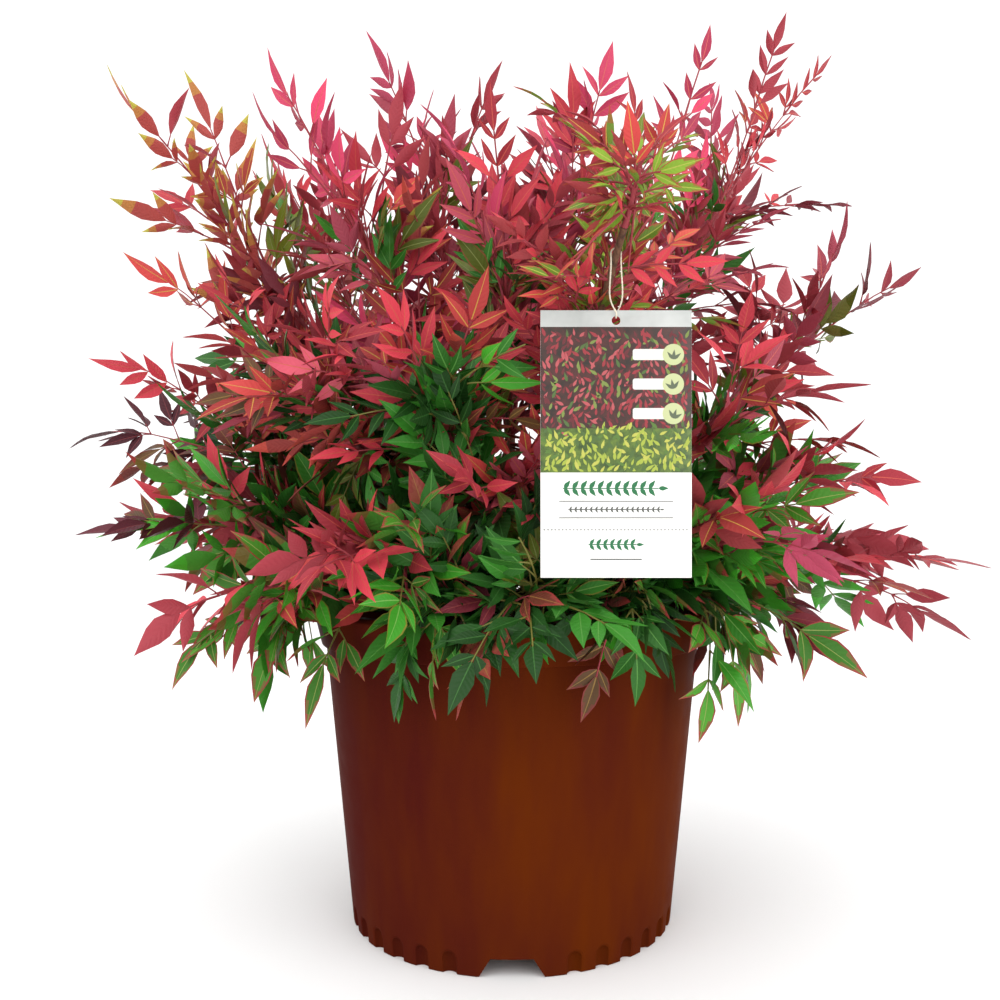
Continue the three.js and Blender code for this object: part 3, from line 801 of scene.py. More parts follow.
def cane_plans(mass):
    """The sprays that leave a mass's cane, and fill the crown's inside."""
    draw = seeded(mass["seed"] + 11)
    plans = []
    for n in range(mass["cane_sprays"]):
        share = mix(0.55, 0.92, (n + draw()) / mass["cane_sprays"])
        side = (1 if n % 2 else -1) * (0.2 + 1.3 * draw())
        rise = mass["rise"] + mass["cane_lift"] + (draw() - 0.6) * 3 * mass["spread"]
        reach = mass["reach"] * mix(0.6, 0.84, draw())
        plans.append((share, mass["azimuth"] + side * mass["swing"], rise, reach, either_way(draw, 2 * ROLL)))
    return plans


def spray_bow(mass, start, azimuth, rise, reach):
    """A spray's line, which sets out steeply and then leans to its tip."""
    tip = HEART + heading(azimuth, rise) * reach
    launch = heading(azimuth, max(mass["launch"], rise))
    past_rim = RIM_RADIUS + RIM_ROOM - math.hypot(start.x, start.y) if mass["over_rim"] else 0
    bend = start + launch * max(((tip - start).length - LEAF_LENGTH) * 0.5, past_rim)
    return Bow(start, bend, tip - (tip - bend).normalized() * LEAF_LENGTH)


def grown_masses():
    """Every mass with its cane, its stem and its sprays."""
    masses = []
    for t, tier in enumerate(TIERS):
        for i, azimuth in enumerate(tier["azimuths"]):
            name, rise = f"{tier['name']}_{i + 1}", tier["rises"][i]
            mass = {
                **USUAL, "fan": tier["swing"], **tier, **OWN_LOOKS.get(name, {}),
                "tier": tier["name"], "node": f"foliage_{name}", "cane_node": f"cane_{name}",
                "azimuth": azimuth, "rise": rise, "cane_rise": rise, "reach": tier["reaches"][i],
                "axis": heading(azimuth, rise), "seed": (t + 1) * 100 + i, "tints": tier["tints"][i].split(),
            }
            if mass["cane_node"] == TAG_CANE["name"]:
                mass.update(TAG_CANE)
            mass["cane"] = cane_bow(mass) if mass["on_cane"] else None
            mass["stem"] = stem_bow(mass)
            mass["sprays"] = [
                {"bow": spray_bow(mass, axis_point(mass["stem"], share, STEM["steps"]), *aim), "roll": roll}
                for share, *aim, roll in spray_plans(mass)
            ]
            mass["sprays"] += [
                {"bow": spray_bow(mass, mass["cane"].point(share), *aim), "roll": roll}
                for share, *aim, roll in cane_plans(mass)
            ]
            masses.append(mass)
    return masses


MASSES = grown_masses()
TAG_BOUGH = next(mass["cane"] for mass in MASSES if mass["cane_node"] == TAG_CANE["name"])
HOOK = TAG_BOUGH.point(TAG["cane_share"])


def over_cane(tip_radius, strand):
    """The radius at which a thread lies over the tag's cane, and the height of its top."""
    radius = mix(CANE["root"], tip_radius, TAG["cane_share"]) + strand + GAP
    return radius, HOOK.z + radius / math.cos(math.asin(TAG_BOUGH.way(TAG["cane_share"]).z))


LOOP_TOP = over_cane(CANE["tip"], LOOP["strand"])[1]
LOOP_BOTTOM = LOOP_TOP - LOOP["drop"]
HUG_RADIUS, HUG_TOP = over_cane(THIN, THREAD["radius"])
TAG_TOP = LOOP_BOTTOM + LOOP["strand"] + GAP - TAG["hole_radius"] + TAG["hole_drop"]


# ---- Where leaves may be -------------------------------------------------------------------------


def clear_of_pot(point):
    """Whether a point is above the rim, or beside the pot and off the ground."""
    if point.z > POT_HEIGHT + POT_ROOM["above"]:
        return True
    return math.hypot(point.x, point.y) > RIM_RADIUS + POT_ROOM["beside"] and point.z > POT_ROOM["ground"]


def clear_of_tag(point):
    """Whether a point is beside, above, below or well behind the card and its thread."""
    beside_card = point.z < TAG_TOP + TAG_ROOM["above"]
    half = TAG["width"] / 2 + TAG_ROOM["side"] if beside_card else TAG_ROOM["thread"]
    low, high = TAG_TOP - TAG["height"] - TAG_ROOM["below"], LOOP_TOP + TAG_ROOM["above"]
    if abs(point.x - HOOK.x) > half or not low <= point.z <= high:
        return True
    return point.y > HOOK.y + TAG_ROOM["behind"]


def in_box(point):
    """Whether a point is in the solids' box or only just outside it."""
    limits = zip(point, CAD_LOW, CAD_HIGH)
    return all(low / MM - BOX_ROOM < c < high / MM + BOX_ROOM for c, low, high in limits)


def free(point):
    return clear_of_pot(point) and clear_of_tag(point) and in_box(point)


# ---- Twigs and canes as tubes --------------------------------------------------------------------


def tapered(ends, steps):
    """Values that change evenly from one end to the other."""
    return [mix(*ends, i / steps) for i in range(steps + 1)]


class Tubes:
    """Closed tubes gathered into one mesh."""

    def __init__(self):
        self.points, self.faces, self.indices = [], [], []

    def add(self, line, radii, sides, index=0, relief=None):
        """A tube along a line. Relief swells it, by share of its length and turn round it."""
        base = len(self.points)
        way = (line[1] - line[0]).normalized()
        out = square_to(way, Vector((0.31, 0.77, 0.55)))
        for i, point in enumerate(line):
            ahead = line[min(i + 1, len(line) - 1)] - line[max(i - 1, 0)]
            way = ahead.normalized()
            out = square_to(way, out)
            side = way.cross(out)
            for k in range(sides):
                turn = 2 * math.pi * k / sides
                radius = radii[i] * (relief(i / (len(line) - 1), turn) if relief else 1)
                self.points.append(point + (out * math.cos(turn) + side * math.sin(turn)) * radius)
        for i in range(len(line) - 1):
            for k in range(sides):
                a, b = base + i * sides + k, base + i * sides + (k + 1) % sides
                self.faces.append((a, b, b + sides, a + sides))
        last = base + (len(line) - 1) * sides
        self.faces.append(tuple(reversed(range(base, base + sides))))
        self.faces.append(tuple(range(last, last + sides)))
        self.indices += [index] * (len(self.faces) - len(self.indices))

    def made(self, name, materials):
        return mesh_object(name, self.points, self.faces, materials, self.indices)


# ---- Leaflets ------------------------------------------------------------------------------------

# A leaflet's stations from its base to its tip, and how wide it is there, as shares.
STATIONS = np.array([0.07, 0.2, 0.38, 0.58, 0.78, 0.91])
HALF_WIDTHS = np.array([0.27, 0.68, 1.0, 0.86, 0.45, 0.17])
LAST = len(STATIONS) - 1
MARGIN = 0.84  # where the margin's colour starts, as a share of the half width
RIB = 0.4  # half the midrib's width at a leaflet's base, in millimetres
LEAFLETS_A_PIECE = 1900
LEAF_SMOOTH, TUBE_SMOOTH = 50, 60

# What a leaflet's cross-section holds, from its left edge to its right: places across, of which the two
# zeros are the midrib's sides, and for each strip between them its colour and by how many steps it turns
# later to the tip's. Colours are told as in leaf_codes.
PLAIN = {"across": (-1, 0, 0, 1), "strips": ((0, 0), (2, 0), (0, 0)), "tip_from": LAST + 1}
EDGED = {
    "across": (-1, -MARGIN, -0.44, 0, 0, 0.44, MARGIN, 1),
    "strips": ((1, 0), (0, 0), (0, 1), (2, 0), (0, 1), (0, 0), (1, 0)), "tip_from": LAST - 2,
}


def turning_colour(colour, step, tip_from):
    """A strip's colour at a step, where it turns to the tip's colour from one step on."""
    return colour if step < tip_from else 5 if step == tip_from else 4


def leaflet_faces(kind):
    """Faces of one leaflet, and for each which of its six colours it takes."""
    faces, colours = [], []
    strips = kind["strips"]
    per = len(strips) + 2
    ring = lambda j, i: j * per + i
    root, tip = per * (LAST + 1), per * (LAST + 1) + 1
    tip_from = kind["tip_from"]
    for i, (colour, later) in enumerate(strips):
        faces.append((root, ring(0, i + 1), ring(0, i)))
        for j in range(LAST):
            faces.append((ring(j, i), ring(j, i + 1), ring(j + 1, i + 1), ring(j + 1, i)))
        faces.append((ring(LAST, i), ring(LAST, i + 1), tip))
        colours += [colour or turning_colour(0, j, tip_from + later) for j in range(-1, LAST + 1)]
    keel = per - 1
    for a, b in ((0, keel), (keel, keel - 1)):
        faces.append((root, ring(0, a), ring(0, b)))
        for j in range(LAST):
            faces.append((ring(j, a), ring(j + 1, a), ring(j + 1, b), ring(j, b)))
        faces.append((ring(LAST, a), tip, ring(LAST, b)))
        colours += [turning_colour(3, j, tip_from) for j in range(-1, LAST + 1)]
    return faces, colours


def leaflet_points(leaves, kind, width_share, thickness):
    """The points of all leaflets of a kind at once, and their places on the blade."""
    root = np.array([leaf["root"] for leaf in leaves])[:, None, :]
    way = np.array([leaf["way"] for leaf in leaves])[:, None, :]
    face = np.array([leaf["face"] for leaf in leaves])[:, None, :]
    side = np.cross(way, face)
    length, width, bend, fold, sickle, twist = (
        np.array([leaf[key] for leaf in leaves])[:, None]
        for key in ("length", "width", "bend", "fold", "sickle", "twist")
    )
    half = width * length * width_share / 2
    places = len(kind["across"])
    middle = places // 2
    rings = lambda section: np.concatenate([np.tile(section, LAST + 1), [0, 0]])
    t = np.concatenate([np.repeat(STATIONS, places + 1), [0, 1]])
    shape = np.concatenate([np.repeat(HALF_WIDTHS, places + 1), [0, 0]])
    across = rings([*kind["across"], 0])
    rib = rings([(i == middle) - (i == middle - 1) for i in range(places)] + [0])
    under = rings([0] * places + [1])
    rib_half = np.minimum(RIB * (1 - 0.75 * t), 0.3 * half * shape)
    x = across * half * shape + rib * rib_half
    lift = fold * np.abs(x) * (1 + 0.25 * (1 - np.abs(across))) - under * thickness
    angle = twist * t
    x, lift = x * np.cos(angle) - lift * np.sin(angle), x * np.sin(angle) + lift * np.cos(angle)
    x = x + sickle * length * t * t
    lift = lift - bend * length * t * t
    forward = length * t * (1 - 0.12 * np.abs(bend) * t)
    points = root + way * forward[..., None] + side * x[..., None] + face * lift[..., None]
    blade = np.stack([np.broadcast_to(across + rib * 0.06, x.shape), np.broadcast_to(t, x.shape)], axis=-1)
    return points, blade


def leaf_piece(name, leaves, materials, settings):
    """Leaflets of both kinds in one mesh, which holds only the colours that they use."""
    looks = [leaf_codes(leaf["tint"], leaf["shade"]) for leaf in leaves]
    used = sorted({code for codes in looks for code in codes})
    slots = {code: i for i, code in enumerate(used)}
    points, blades, loops, starts, indices = [], [], [], [], []
    vertices = corners = 0
    for kind in (PLAIN, EDGED):
        some = [k for k, codes in enumerate(looks) if (codes[0] != codes[1]) == (kind is EDGED)]
        if not some:
            continue
        faces, colours = leaflet_faces(kind)
        thickness = settings.leaf_thickness / MM
        grown, blade = leaflet_points([leaves[k] for k in some], kind, settings.leaf_width, thickness)
        one = np.concatenate([np.array(face) for face in faces])
        firsts = np.concatenate([[0], np.cumsum([len(face) for face in faces])[:-1]])
        shift = np.arange(len(some))[:, None]
        loops.append((one[None, :] + shift * grown.shape[1]).ravel() + vertices)
        starts.append((firsts[None, :] + shift * len(one)).ravel() + corners)
        points.append(grown.reshape(-1, 3))
        blades.append(blade.reshape(-1, 2))
        indices += [np.array([slots[code] for code in looks[k]])[colours] for k in some]
        vertices += len(points[-1])
        corners += len(loops[-1])
    loops = np.concatenate(loops)
    obj = mesh_object(
        name, np.concatenate(points), (loops, np.concatenate(starts)), [materials[code] for code in used],
        np.concatenate(indices), np.concatenate(blades)[loops],
    )
    smooth(obj, LEAF_SMOOTH)
    return obj


def add_leaflet(leaves, root, way, face, length, look, mass, draw):
    """Adds a leaflet where it has room, and says whether it had."""
    leaf = {
        "root": root, "way": way, "face": square_to(way, face), "length": length,
        "tint": look[0], "shade": look[1], "width": mass["width"] * (0.88 + 0.24 * draw()),
        "bend": 0.02 + 0.22 * draw(), "fold": 0.08 + 0.3 * draw(),
        "sickle": either_way(draw, 0.16), "twist": either_way(draw, 0.8),
    }
    half = leaf["face"].cross(way) * (length * 0.16)
    widest = root + way * (length * 0.38)
    sags = [(s, leaf["bend"] * length * s * s) for s in (0.15, 0.5, 1.0)]
    checks = [root + way * (length * s) - leaf["face"] * sag for s, sag in sags]
    if all(free(point) for point in (*checks, widest + half, widest - half)):
        leaves.append(leaf)
        return True
    return False


def outward(point):
    """Where the light falls from at a point: out of the crown's middle and somewhat from above."""
    return (Vector((point.x, point.y, (point.z - 300) * 0.5)).normalized() + UP * 0.35).normalized()


def stalk_index(tint):
    """Green leaves have green stalks."""
    return 1 if tint in GREENS else 0


def inner_tint(mass, draw):
    """A tint for leaves that are deep in the mass."""
    return mass["inner"][int(draw() * len(mass["inner"]))]


def add_side_twig(leaves, twigs, root, way, face, stalk, mass, tint, draw, size=1.0):
    """A side twig with a leaflet at its end and pairs at its joints, their faces turned to the light."""
    end_length = mix(*mass["leaflet"], draw()) * size * mass["leaf_scale"]
    look = (tint, int(draw() * len(SHADES)))
    droop = mass["droop"]
    end = root + (way - UP * (droop * (0.2 + 0.4 * draw()))).normalized() * stalk
    ahead = (way - UP * (droop * (0.2 + 2.2 * draw() ** 2))).normalized()
    light = outward(root)
    if face.dot(light) < 0:
        face = -face
    face = square_to(ahead, mix(face, light, 0.45))
    face = turned_about(face, ahead, either_way(draw, mass["turn"]))
    grown = add_leaflet(leaves, end, ahead, face, end_length, look, mass, draw)
    pairs = round(stalk / mass["joint_step"] / mass["leaf_scale"])
    for k in range(pairs):
        joint = mix(root, end, 1 - (k + 0.26) / pairs)
        for side in (-1, 1):
            aim = turned_about(ahead, face, side * mix(*mass["aim"], draw()))
            tilt = turned_about(face, aim, either_way(draw, 60))
            length_here = end_length * (0.7 + 0.06 * k) * (0.85 + 0.3 * draw())
            grown = add_leaflet(leaves, joint, aim, tilt, length_here, look, mass, draw) or grown
    if grown and stalk > 3:
        line = [root, mix(root, end, 0.5) + UP * (0.03 * stalk), end, end + ahead * 1.5]
        twigs.add(line, TWIG_RADII, 4, stalk_index(tint))


def add_stem_twigs(leaves, twigs, mass, draw):
    """Side twigs that leave a mass's stem all round."""
    for n in range(mass["stem_twigs"]):
        share = mix(0.05, 0.95, (n + draw()) / mass["stem_twigs"])
        ahead = mass["stem"].way(share)
        out = turned_about(square_to(ahead, UP), ahead, GOLDEN_TURN * n)
        way = mix(ahead, out, 0.62).normalized()
        stalk = mass["stalk"] * mass["leaf_scale"] * (0.7 + 0.5 * draw())
        tint = inner_tint(mass, draw)
        add_side_twig(leaves, twigs, mass["stem"].point(share), way, out, stalk, mass, tint, draw)


def add_spray(leaves, twigs, mass, spray, tint, draw):
    """A spray's rachis with pairs of side twigs that grow shorter towards its end."""
    bow = spray["bow"]
    scale = mass["leaf_scale"]
    count = max(2, round(bow.length * 0.85 / mass["node_step"] / scale))
    radii = [radius * scale**0.6 for radius in tapered(SPRAY_RADII, SPRAY_STEPS)]
    twigs.add(bow.line(SPRAY_STEPS), radii, 5, stalk_index(tint))
    for n in range(count):
        share = mix(0.15, 1.0, n / (count - 1))
        ahead = bow.way(share)
        level = turned_about(square_to(ahead, UP), ahead, spray["roll"])
        root = bow.point(share)
        for side in (-1, 1):
            here = KIN[tint] if draw() < KIN_SHARE else tint
            if share < mass["inner_to"] and draw() < INNER_SHARE:
                here = inner_tint(mass, draw)
            way = turned_about(ahead, level, side * (mass["pair"] + either_way(draw, 14)))
            way = mix(way, level, math.sin(math.radians(PAIR_RAISE)) * (2 * draw() - 0.6)).normalized()
            stalk = mass["stalk"] * scale * mix(1.15, 0.35, share**1.5) * (0.8 + 0.4 * draw())
            add_side_twig(leaves, twigs, root, way, level, stalk, mass, here, draw, mix(1.08, 0.9, share))
    last = 0.5 * sum(mass["leaflet"]) * scale
    add_side_twig(leaves, twigs, bow.point(1), bow.way(1), level, LEAF_LENGTH - last, mass, tint, draw)


# ---- The pot and its mix -------------------------------------------------------------------------

SQUARE = ((-1, -1), (1, -1), (1, 1), (-1, 1))
BLOCK_FACES = [(3, 2, 1, 0), (4, 5, 6, 7), (0, 1, 5, 4), (1, 2, 6, 5), (2, 3, 7, 6), (3, 0, 4, 7)]


def start_profile(first):
    """One vertex in edit mode, ready to be drawn out into a profile."""
    clear_selection()
    bpy.ops.mesh.primitive_plane_add(size=0.01, location=(0, 0, 0))
    bpy.ops.object.mode_set(mode="EDIT")
    bpy.ops.mesh.select_all(action="SELECT")
    bpy.ops.mesh.merge(type="CENTER")
    bpy.ops.transform.translate(value=(first[0] * MM, 0, first[1] * MM))
    return bpy.context.object


def spun(profile, steps):
    """A profile of (radius, height) drawn out point by point and spun about the upright axis."""
    obj = start_profile(profile[0])
    for a, b in zip(profile, profile[1:]):
        bpy.ops.mesh.extrude_region_move(
            TRANSFORM_OT_translate={"value": ((b[0] - a[0]) * MM, 0, (b[1] - a[1]) * MM)}
        )
    bpy.ops.mesh.select_all(action="SELECT")
    bpy.ops.mesh.spin(steps=steps, angle=2 * math.pi, center=(0, 0, 0), axis=(0, 0, 1))
    bpy.ops.mesh.select_all(action="SELECT")
    bpy.ops.mesh.remove_doubles(threshold=0.00002)
    bpy.ops.mesh.normals_make_consistent(inside=False)
    bpy.ops.object.mode_set(mode="OBJECT")
    return obj


def rounded(profile, radii, steps=4):
    """The profile with an arc at each corner that is given a radius."""
    made = []
    for i, (r, z) in enumerate(profile):
        radius = radii.get(i, 0)
        if not radius:
            made.append((r, z))
            continue
        here = Vector((r, z))
        back = (Vector(profile[i - 1]) - here).normalized()
        ahead = (Vector(profile[i + 1]) - here).normalized()
        half = back.angle(ahead) / 2
        reach = radius / math.tan(half)
        start, end = here + back * reach, here + ahead * reach
        for k in range(steps + 1):
            t = k / steps
            point = start * (1 - t) ** 2 + here * (2 * t * (1 - t)) + end * t**2
            made.append(tuple(point))
    return made


def flute_cutter(azimuth, radius, depth, outside):
    """A round-topped upright groove to cut out of the foot, along the slope of the wall."""
    clear_selection()
    bpy.ops.mesh.primitive_uv_sphere_add(segments=24, ring_count=12, radius=1, location=(0, 0, 0))
    cutter = bpy.context.object
    ball = FLUTE["top"] - FLUTE["radius"]
    for vertex in cutter.data.vertices:
        z = ball + radius * vertex.co.z - (FLUTE["depth_below"] if vertex.co.z < -1e-6 else 0)
        out = wall_radius(z) + outside + depth * vertex.co.x
        place = heading(azimuth, 0) * out + heading(azimuth + 90, 0) * (radius * vertex.co.y) + UP * z
        vertex.co = place * MM
    return cutter


def notch_cutter(azimuth):
    """A block that narrows upwards, to cut a notch out of the foot."""
    clear_selection()
    below = NOTCH_BELOW
    slope = (NOTCH["bottom"] - NOTCH["top"]) / 2 / NOTCH["height"]
    bottom, top = NOTCH["bottom"] / 2 + slope * below, NOTCH["top"] / 2
    near, far = FOOT_RADIUS - FOOT_RING * 1.6, FOOT_RADIUS + FOOT_RING * 1.4
    points = [
        (x, -y, z)
        for y in (near, far)
        for x, z in ((-bottom, -below), (bottom, -below), (top, NOTCH["height"]), (-top, NOTCH["height"]))
    ]
    spin = Matrix.Rotation(math.radians(azimuth), 3, "Z")
    cutter = mesh_object("notch", [spin @ Vector(p) for p in points], BLOCK_FACES, [])
    pick(cutter)
    bpy.ops.object.mode_set(mode="EDIT")
    bpy.ops.mesh.select_all(action="SELECT")
    bpy.ops.mesh.normals_make_consistent(inside=False)
    bpy.ops.object.mode_set(mode="OBJECT")
    return cutter


def make_pot(settings):
    """The pot, spun from its profile. A shallow dish is cut for each groove's soft edge before the groove."""
    floor_top = FLOOR_RAISED + WALL
    inside = WALL_TOP_RADIUS - WALL
    profile = [
        (0, 0), (PAD_RADIUS, 0), (PAD_RADIUS + SLOPE, FLOOR_RAISED),
        (FOOT_RADIUS - FOOT_RING - SLOPE, FLOOR_RAISED), (FOOT_RADIUS - FOOT_RING, 0), (FOOT_RADIUS, 0),
        *[(wall_radius(z), z) for z in (30, 62, 95, 128, 160)],
        (WALL_TOP_RADIUS, WALL_TOP), (WALL_TOP_RADIUS + BAND_STEP, WALL_TOP), (RIM_RADIUS, POT_HEIGHT - LIP),
        (RIM_RADIUS - LIP, POT_HEIGHT), (inside + 1, POT_HEIGHT), (inside, WALL_TOP),
        (wall_radius(floor_top) - WALL, floor_top), (0, floor_top),
    ]
    corner_radii = {1: 1, 4: 1, 5: 1.4, 12: 1.2, 13: 1.6, 14: 1.4, 15: 0.6, 17: 3}
    pot = spun(rounded(profile, corner_radii), settings.steps)
    places, turn = range(FLUTE_DIVISIONS), 360 / FLUTE_DIVISIONS
    fluted = [i * turn for i in places if 1 < i % FLUTES_A_NOTCH < FLUTES_A_NOTCH - 1]
    notches = [notch_cutter(i * turn) for i in places if i % FLUTES_A_NOTCH == 0]
    dish = FLUTE["edge_radius"], FLUTE["edge_depth"], 0
    groove = FLUTE["radius"], FLUTE["radius"], FLUTE["outside"]
    cut_away(pot, joined([flute_cutter(azimuth, *dish) for azimuth in fluted]))
    cut_away(pot, joined(notches + [flute_cutter(azimuth, *groove) for azimuth in fluted]))
    dress(pot, moulded_plastic(settings))
    smooth(pot, 32)
    settle(pot, "nursery_pot", ["pot"])


def soil_height(x, y):
    """How far the potting mix lies above its even top at a place."""
    place = Vector((x, y, 0))
    return 2.0 * noise.noise(place * 0.035) + 1.3 * noise.noise(place * 0.12) + 0.6 * noise.noise(place * 0.4)


def soil_level(radius):
    """The potting mix's even top, which falls a little towards the wall."""
    flat = STOOL["flare"] + SOIL["flat"]
    share = min(max((radius - flat) / (inner_radius(WALL_TOP) - flat), 0), 1)
    return mix(SOIL_TOP, WALL_TOP - SOIL["fall"], share)


def make_potting_mix(settings):
    """The potting mix, spun with many rings on top and roughened there, clear of the stool and the wall."""
    bottom = FLOOR_RAISED + WALL + GAP
    rim = inner_radius(SOIL["edge"])
    rings = [rim - 0.4 - (rim - STOOL["flare"]) * i / SOIL["rings"] for i in range(SOIL["rings"] + 1)]
    shoulder = SOIL["shoulder"]
    profile = [(0, bottom), (inner_radius(bottom), bottom), (inner_radius(shoulder), shoulder)]
    profile += [(r, soil_level(r)) for r in rings] + [(r, SOIL_TOP) for r in (30, 15, 0)]
    mixture = spun(profile, settings.steps)
    for vertex in mixture.data.vertices:
        x, y, z = (c / MM for c in vertex.co)
        radius = math.hypot(x, y)
        if z > SOIL["shoulder"] + 2 and radius < rim - 1:
            fade = min(max((radius - STOOL["flare"] + 1) / 8, 0), 1)
            vertex.co.z += (soil_height(x, y) * fade - 0.6 * fade) * MM
    dress(mixture, damp_mix(settings))
    smooth(mixture, 60)
    settle(mixture, "damp_potting_mix", ["potting_mix"])


def make_chips(settings):
    """Bark chips and pale grit that lie on the potting mix."""
    draw = seeded(61)
    points, faces, indices = [], [], []
    for n in range(CHIPS["count"]):
        azimuth, radius = 360 * draw(), math.sqrt(mix(CHIPS["inner"] ** 2, CHIPS["outer"] ** 2, draw()))
        grit = draw() < CHIPS["grit_share"]
        size = 1.4 + 1.2 * draw() if grit else 2 + 3.2 * draw()
        centre = placed(azimuth, radius, 0)
        centre.z = soil_level(radius) + soil_height(centre.x, centre.y) - 0.4 + size * 0.12
        turn = Quaternion(UP, 6.28 * draw()) @ Quaternion((1, 0, 0), either_way(draw, 0.7))
        stretch = (1, 0.9, 0.8) if grit else (1.9 + draw(), 0.8, 0.34)
        faces += [tuple(len(points) + k for k in face) for face in BLOCK_FACES]
        indices += [1 if grit else 0] * len(BLOCK_FACES)
        for z in (-1, 1):
            for x, y in SQUARE:
                corner = Vector((x * stretch[0], y * stretch[1], z * stretch[2])) * size * 0.5
                points.append(centre + turn @ (corner * (0.7 + 0.5 * draw())))
    materials = [chip_bark("bark_chip", tuple(settings.chip)), chip_bark("pale_grit", linear(CHIPS["grit"]))]
    chips = mesh_object("chips", points, faces, materials, indices)
    bevelled(chips, 0.3, 1)
    settle(chips, "bark_chips", ["potting_mix"])


# ---- Stool, canes and foliage --------------------------------------------------------------------


def round_noise(turn, scale, height, shift=(0, 0)):
    """Noise that joins up round a limb."""
    return noise.noise(Vector((math.cos(turn) * scale + shift[0], math.sin(turn) * scale + shift[1], height)))


def make_stool(settings):
    """The stool, with lobes and furrows round its side and a rough top."""
    profile = [(0, STOOL_BASE)]
    profile += [(stool_radius(z), z) for z in tapered((STOOL_BASE, STOOL_TOP), 14)]
    profile += [(r, STOOL_TOP) for r in (30, 22, 13, 5, 0)]
    stool = spun(profile, 96)
    for vertex in stool.data.vertices:
        x, y, z = (c / MM for c in vertex.co)
        radius, turn = math.hypot(x, y), math.atan2(y, x)
        if radius > 32:
            relief = 1.5 * round_noise(turn, 2.6, z * 0.03) + 1.1 * round_noise(turn, 11, z * 0.05)
            factor = 1 + (relief - 1.4) / radius
            vertex.co.x *= factor
            vertex.co.y *= factor
        elif z > STOOL_TOP - 1 and radius > 0.1:
            vertex.co.z += (1.2 * noise.noise(Vector((x * 0.12, y * 0.12, 3))) - 1.1) * MM
    dress(stool, cane_bark(settings))
    smooth(stool, TUBE_SMOOTH)
    settle(stool, "woody_stool", ["stool"])


def make_canes(settings):
    """Each cane with furrowed bark and the rings that old leaf bases leave."""
    tubes = Tubes()
    masses = [mass for mass in MASSES if mass["cane"]]
    for mass in masses:
        bow = mass["cane"]
        steps = max(24, int(bow.length / CANE_STEP))
        phase = mass["seed"] * 1.7
        rings = bow.length / RING_STEP

        def relief(share, turn):
            bark = 0.10 * round_noise(turn, 2.4, share * 9, (phase, 0))
            bark += 0.05 * round_noise(turn, 7, share * 24, (0, phase))
            near = abs((share * rings + 0.3 * math.sin(phase)) % 1 - 0.5)
            return 1 + bark + 0.16 * max(0, 1 - near * 12)

        foot, *radii = tapered((CANE["root"], THIN), steps)
        tubes.add(bow.line(steps), [foot * CANE_FLARE, *radii], CANE_SIDES, 0, relief)
    canes = tubes.made("canes", [cane_bark(settings)])
    smooth(canes, TUBE_SMOOTH)
    settle(canes, "canes", [mass["cane_node"] for mass in masses])


def make_foliage(settings):
    """Each tier's twigs and leaflets, in pieces that stay small enough to keep whole."""
    shades = range(len(SHADES))
    codes = sorted({code for tint in TINTS for shade in shades for code in leaf_codes(tint, shade)})
    gloss = {code: LEAF_GLOSS["red" if channels(code)[0] > 112 else "green"] for code in codes}
    materials = {code: leaf_blade(f"leaf_{code.lower()}", linear(code), gloss[code]) for code in codes}
    stalks = [
        leaf_stalk("red_stalk", tuple(settings.stalk)),
        leaf_stalk("green_stalk", tuple(settings.stalk_green)),
    ]
    for tier in TIERS:
        leaves, twigs = [], Tubes()
        masses = [mass for mass in MASSES if mass["tier"] == tier["name"]]
        for mass in masses:
            draw = seeded(mass["seed"] + 900)
            radii = tapered(STEM_RADII[mass["on_cane"]], STEM_STEPS)
            twigs.add(mass["stem"].line(STEM_STEPS), radii, 8, 0 if mass["on_cane"] else 1)
            add_stem_twigs(leaves, twigs, mass, draw)
            for k, spray in enumerate(mass["sprays"]):
                add_spray(leaves, twigs, mass, spray, mass["tints"][k % len(mass["tints"])], draw)
        nodes = [mass["node"] for mass in masses]
        slot = f"leaves_{tier['name']}"
        stems = twigs.made("twigs", stalks)
        smooth(stems, TUBE_SMOOTH)
        settle(stems, f"twigs_{tier['name']}", nodes)
        parts = math.ceil(len(leaves) / LEAFLETS_A_PIECE)
        for part in range(parts):
            name = slot if part == 0 else f"{slot}_{part + 1}"
            some = leaves[part * len(leaves) // parts : (part + 1) * len(leaves) // parts]
            settle(leaf_piece(name, some, materials, settings), name, nodes)


# ---- The tag and its thread ----------------------------------------------------------------------


def plain_print(name, colour):
    """Plain card or one ink, under a thin gloss."""
    f = Finish(name)
    f.set(Base_Color=colour, Roughness=f.span(f.noise(140, 3), 0.32, 0.42))
    f.set(Normal=f.bump(f.noise(800, 2), 0.0001, 0.3), Coat_Weight=0.15, Coat_Roughness=0.2)
    return f.material


def mottled_print(name, dark, pale, scale):
    """A printed ground: a soft mottle of two inks."""
    f = Finish(name)
    f.set(Base_Color=f.ramp(f.noise(scale, 4, 0.7), ((0.35, linear(dark)), (0.65, linear(pale)))))
    f.set(Roughness=f.span(f.noise(90, 2), 0.3, 0.38), Coat_Weight=0.2, Coat_Roughness=0.2)
    return f.material


# The card's print, by depth below its top edge: a pale band, leaves on a dark ground, then on a green one.
BAND_DEPTH, RED_DEPTH, GREEN_DEPTH = 9, 64, 88
# Each ground with its lower edge, its two inks and the scale of their mottle.
GROUNDS = (
    ("print_band", BAND_DEPTH, "A9ACA9", "BFC1BE", 22),
    ("print_red_ground", RED_DEPTH, "22180F", "4A1E1A", 160),
    ("print_green_ground", GREEN_DEPTH, "2C4418", "5C7426", 160),
)
INK_LAYER, INK_THICKNESS = 0.03, 0.01
LEAF_COLUMNS, LEAF_ROWS = 26, 23
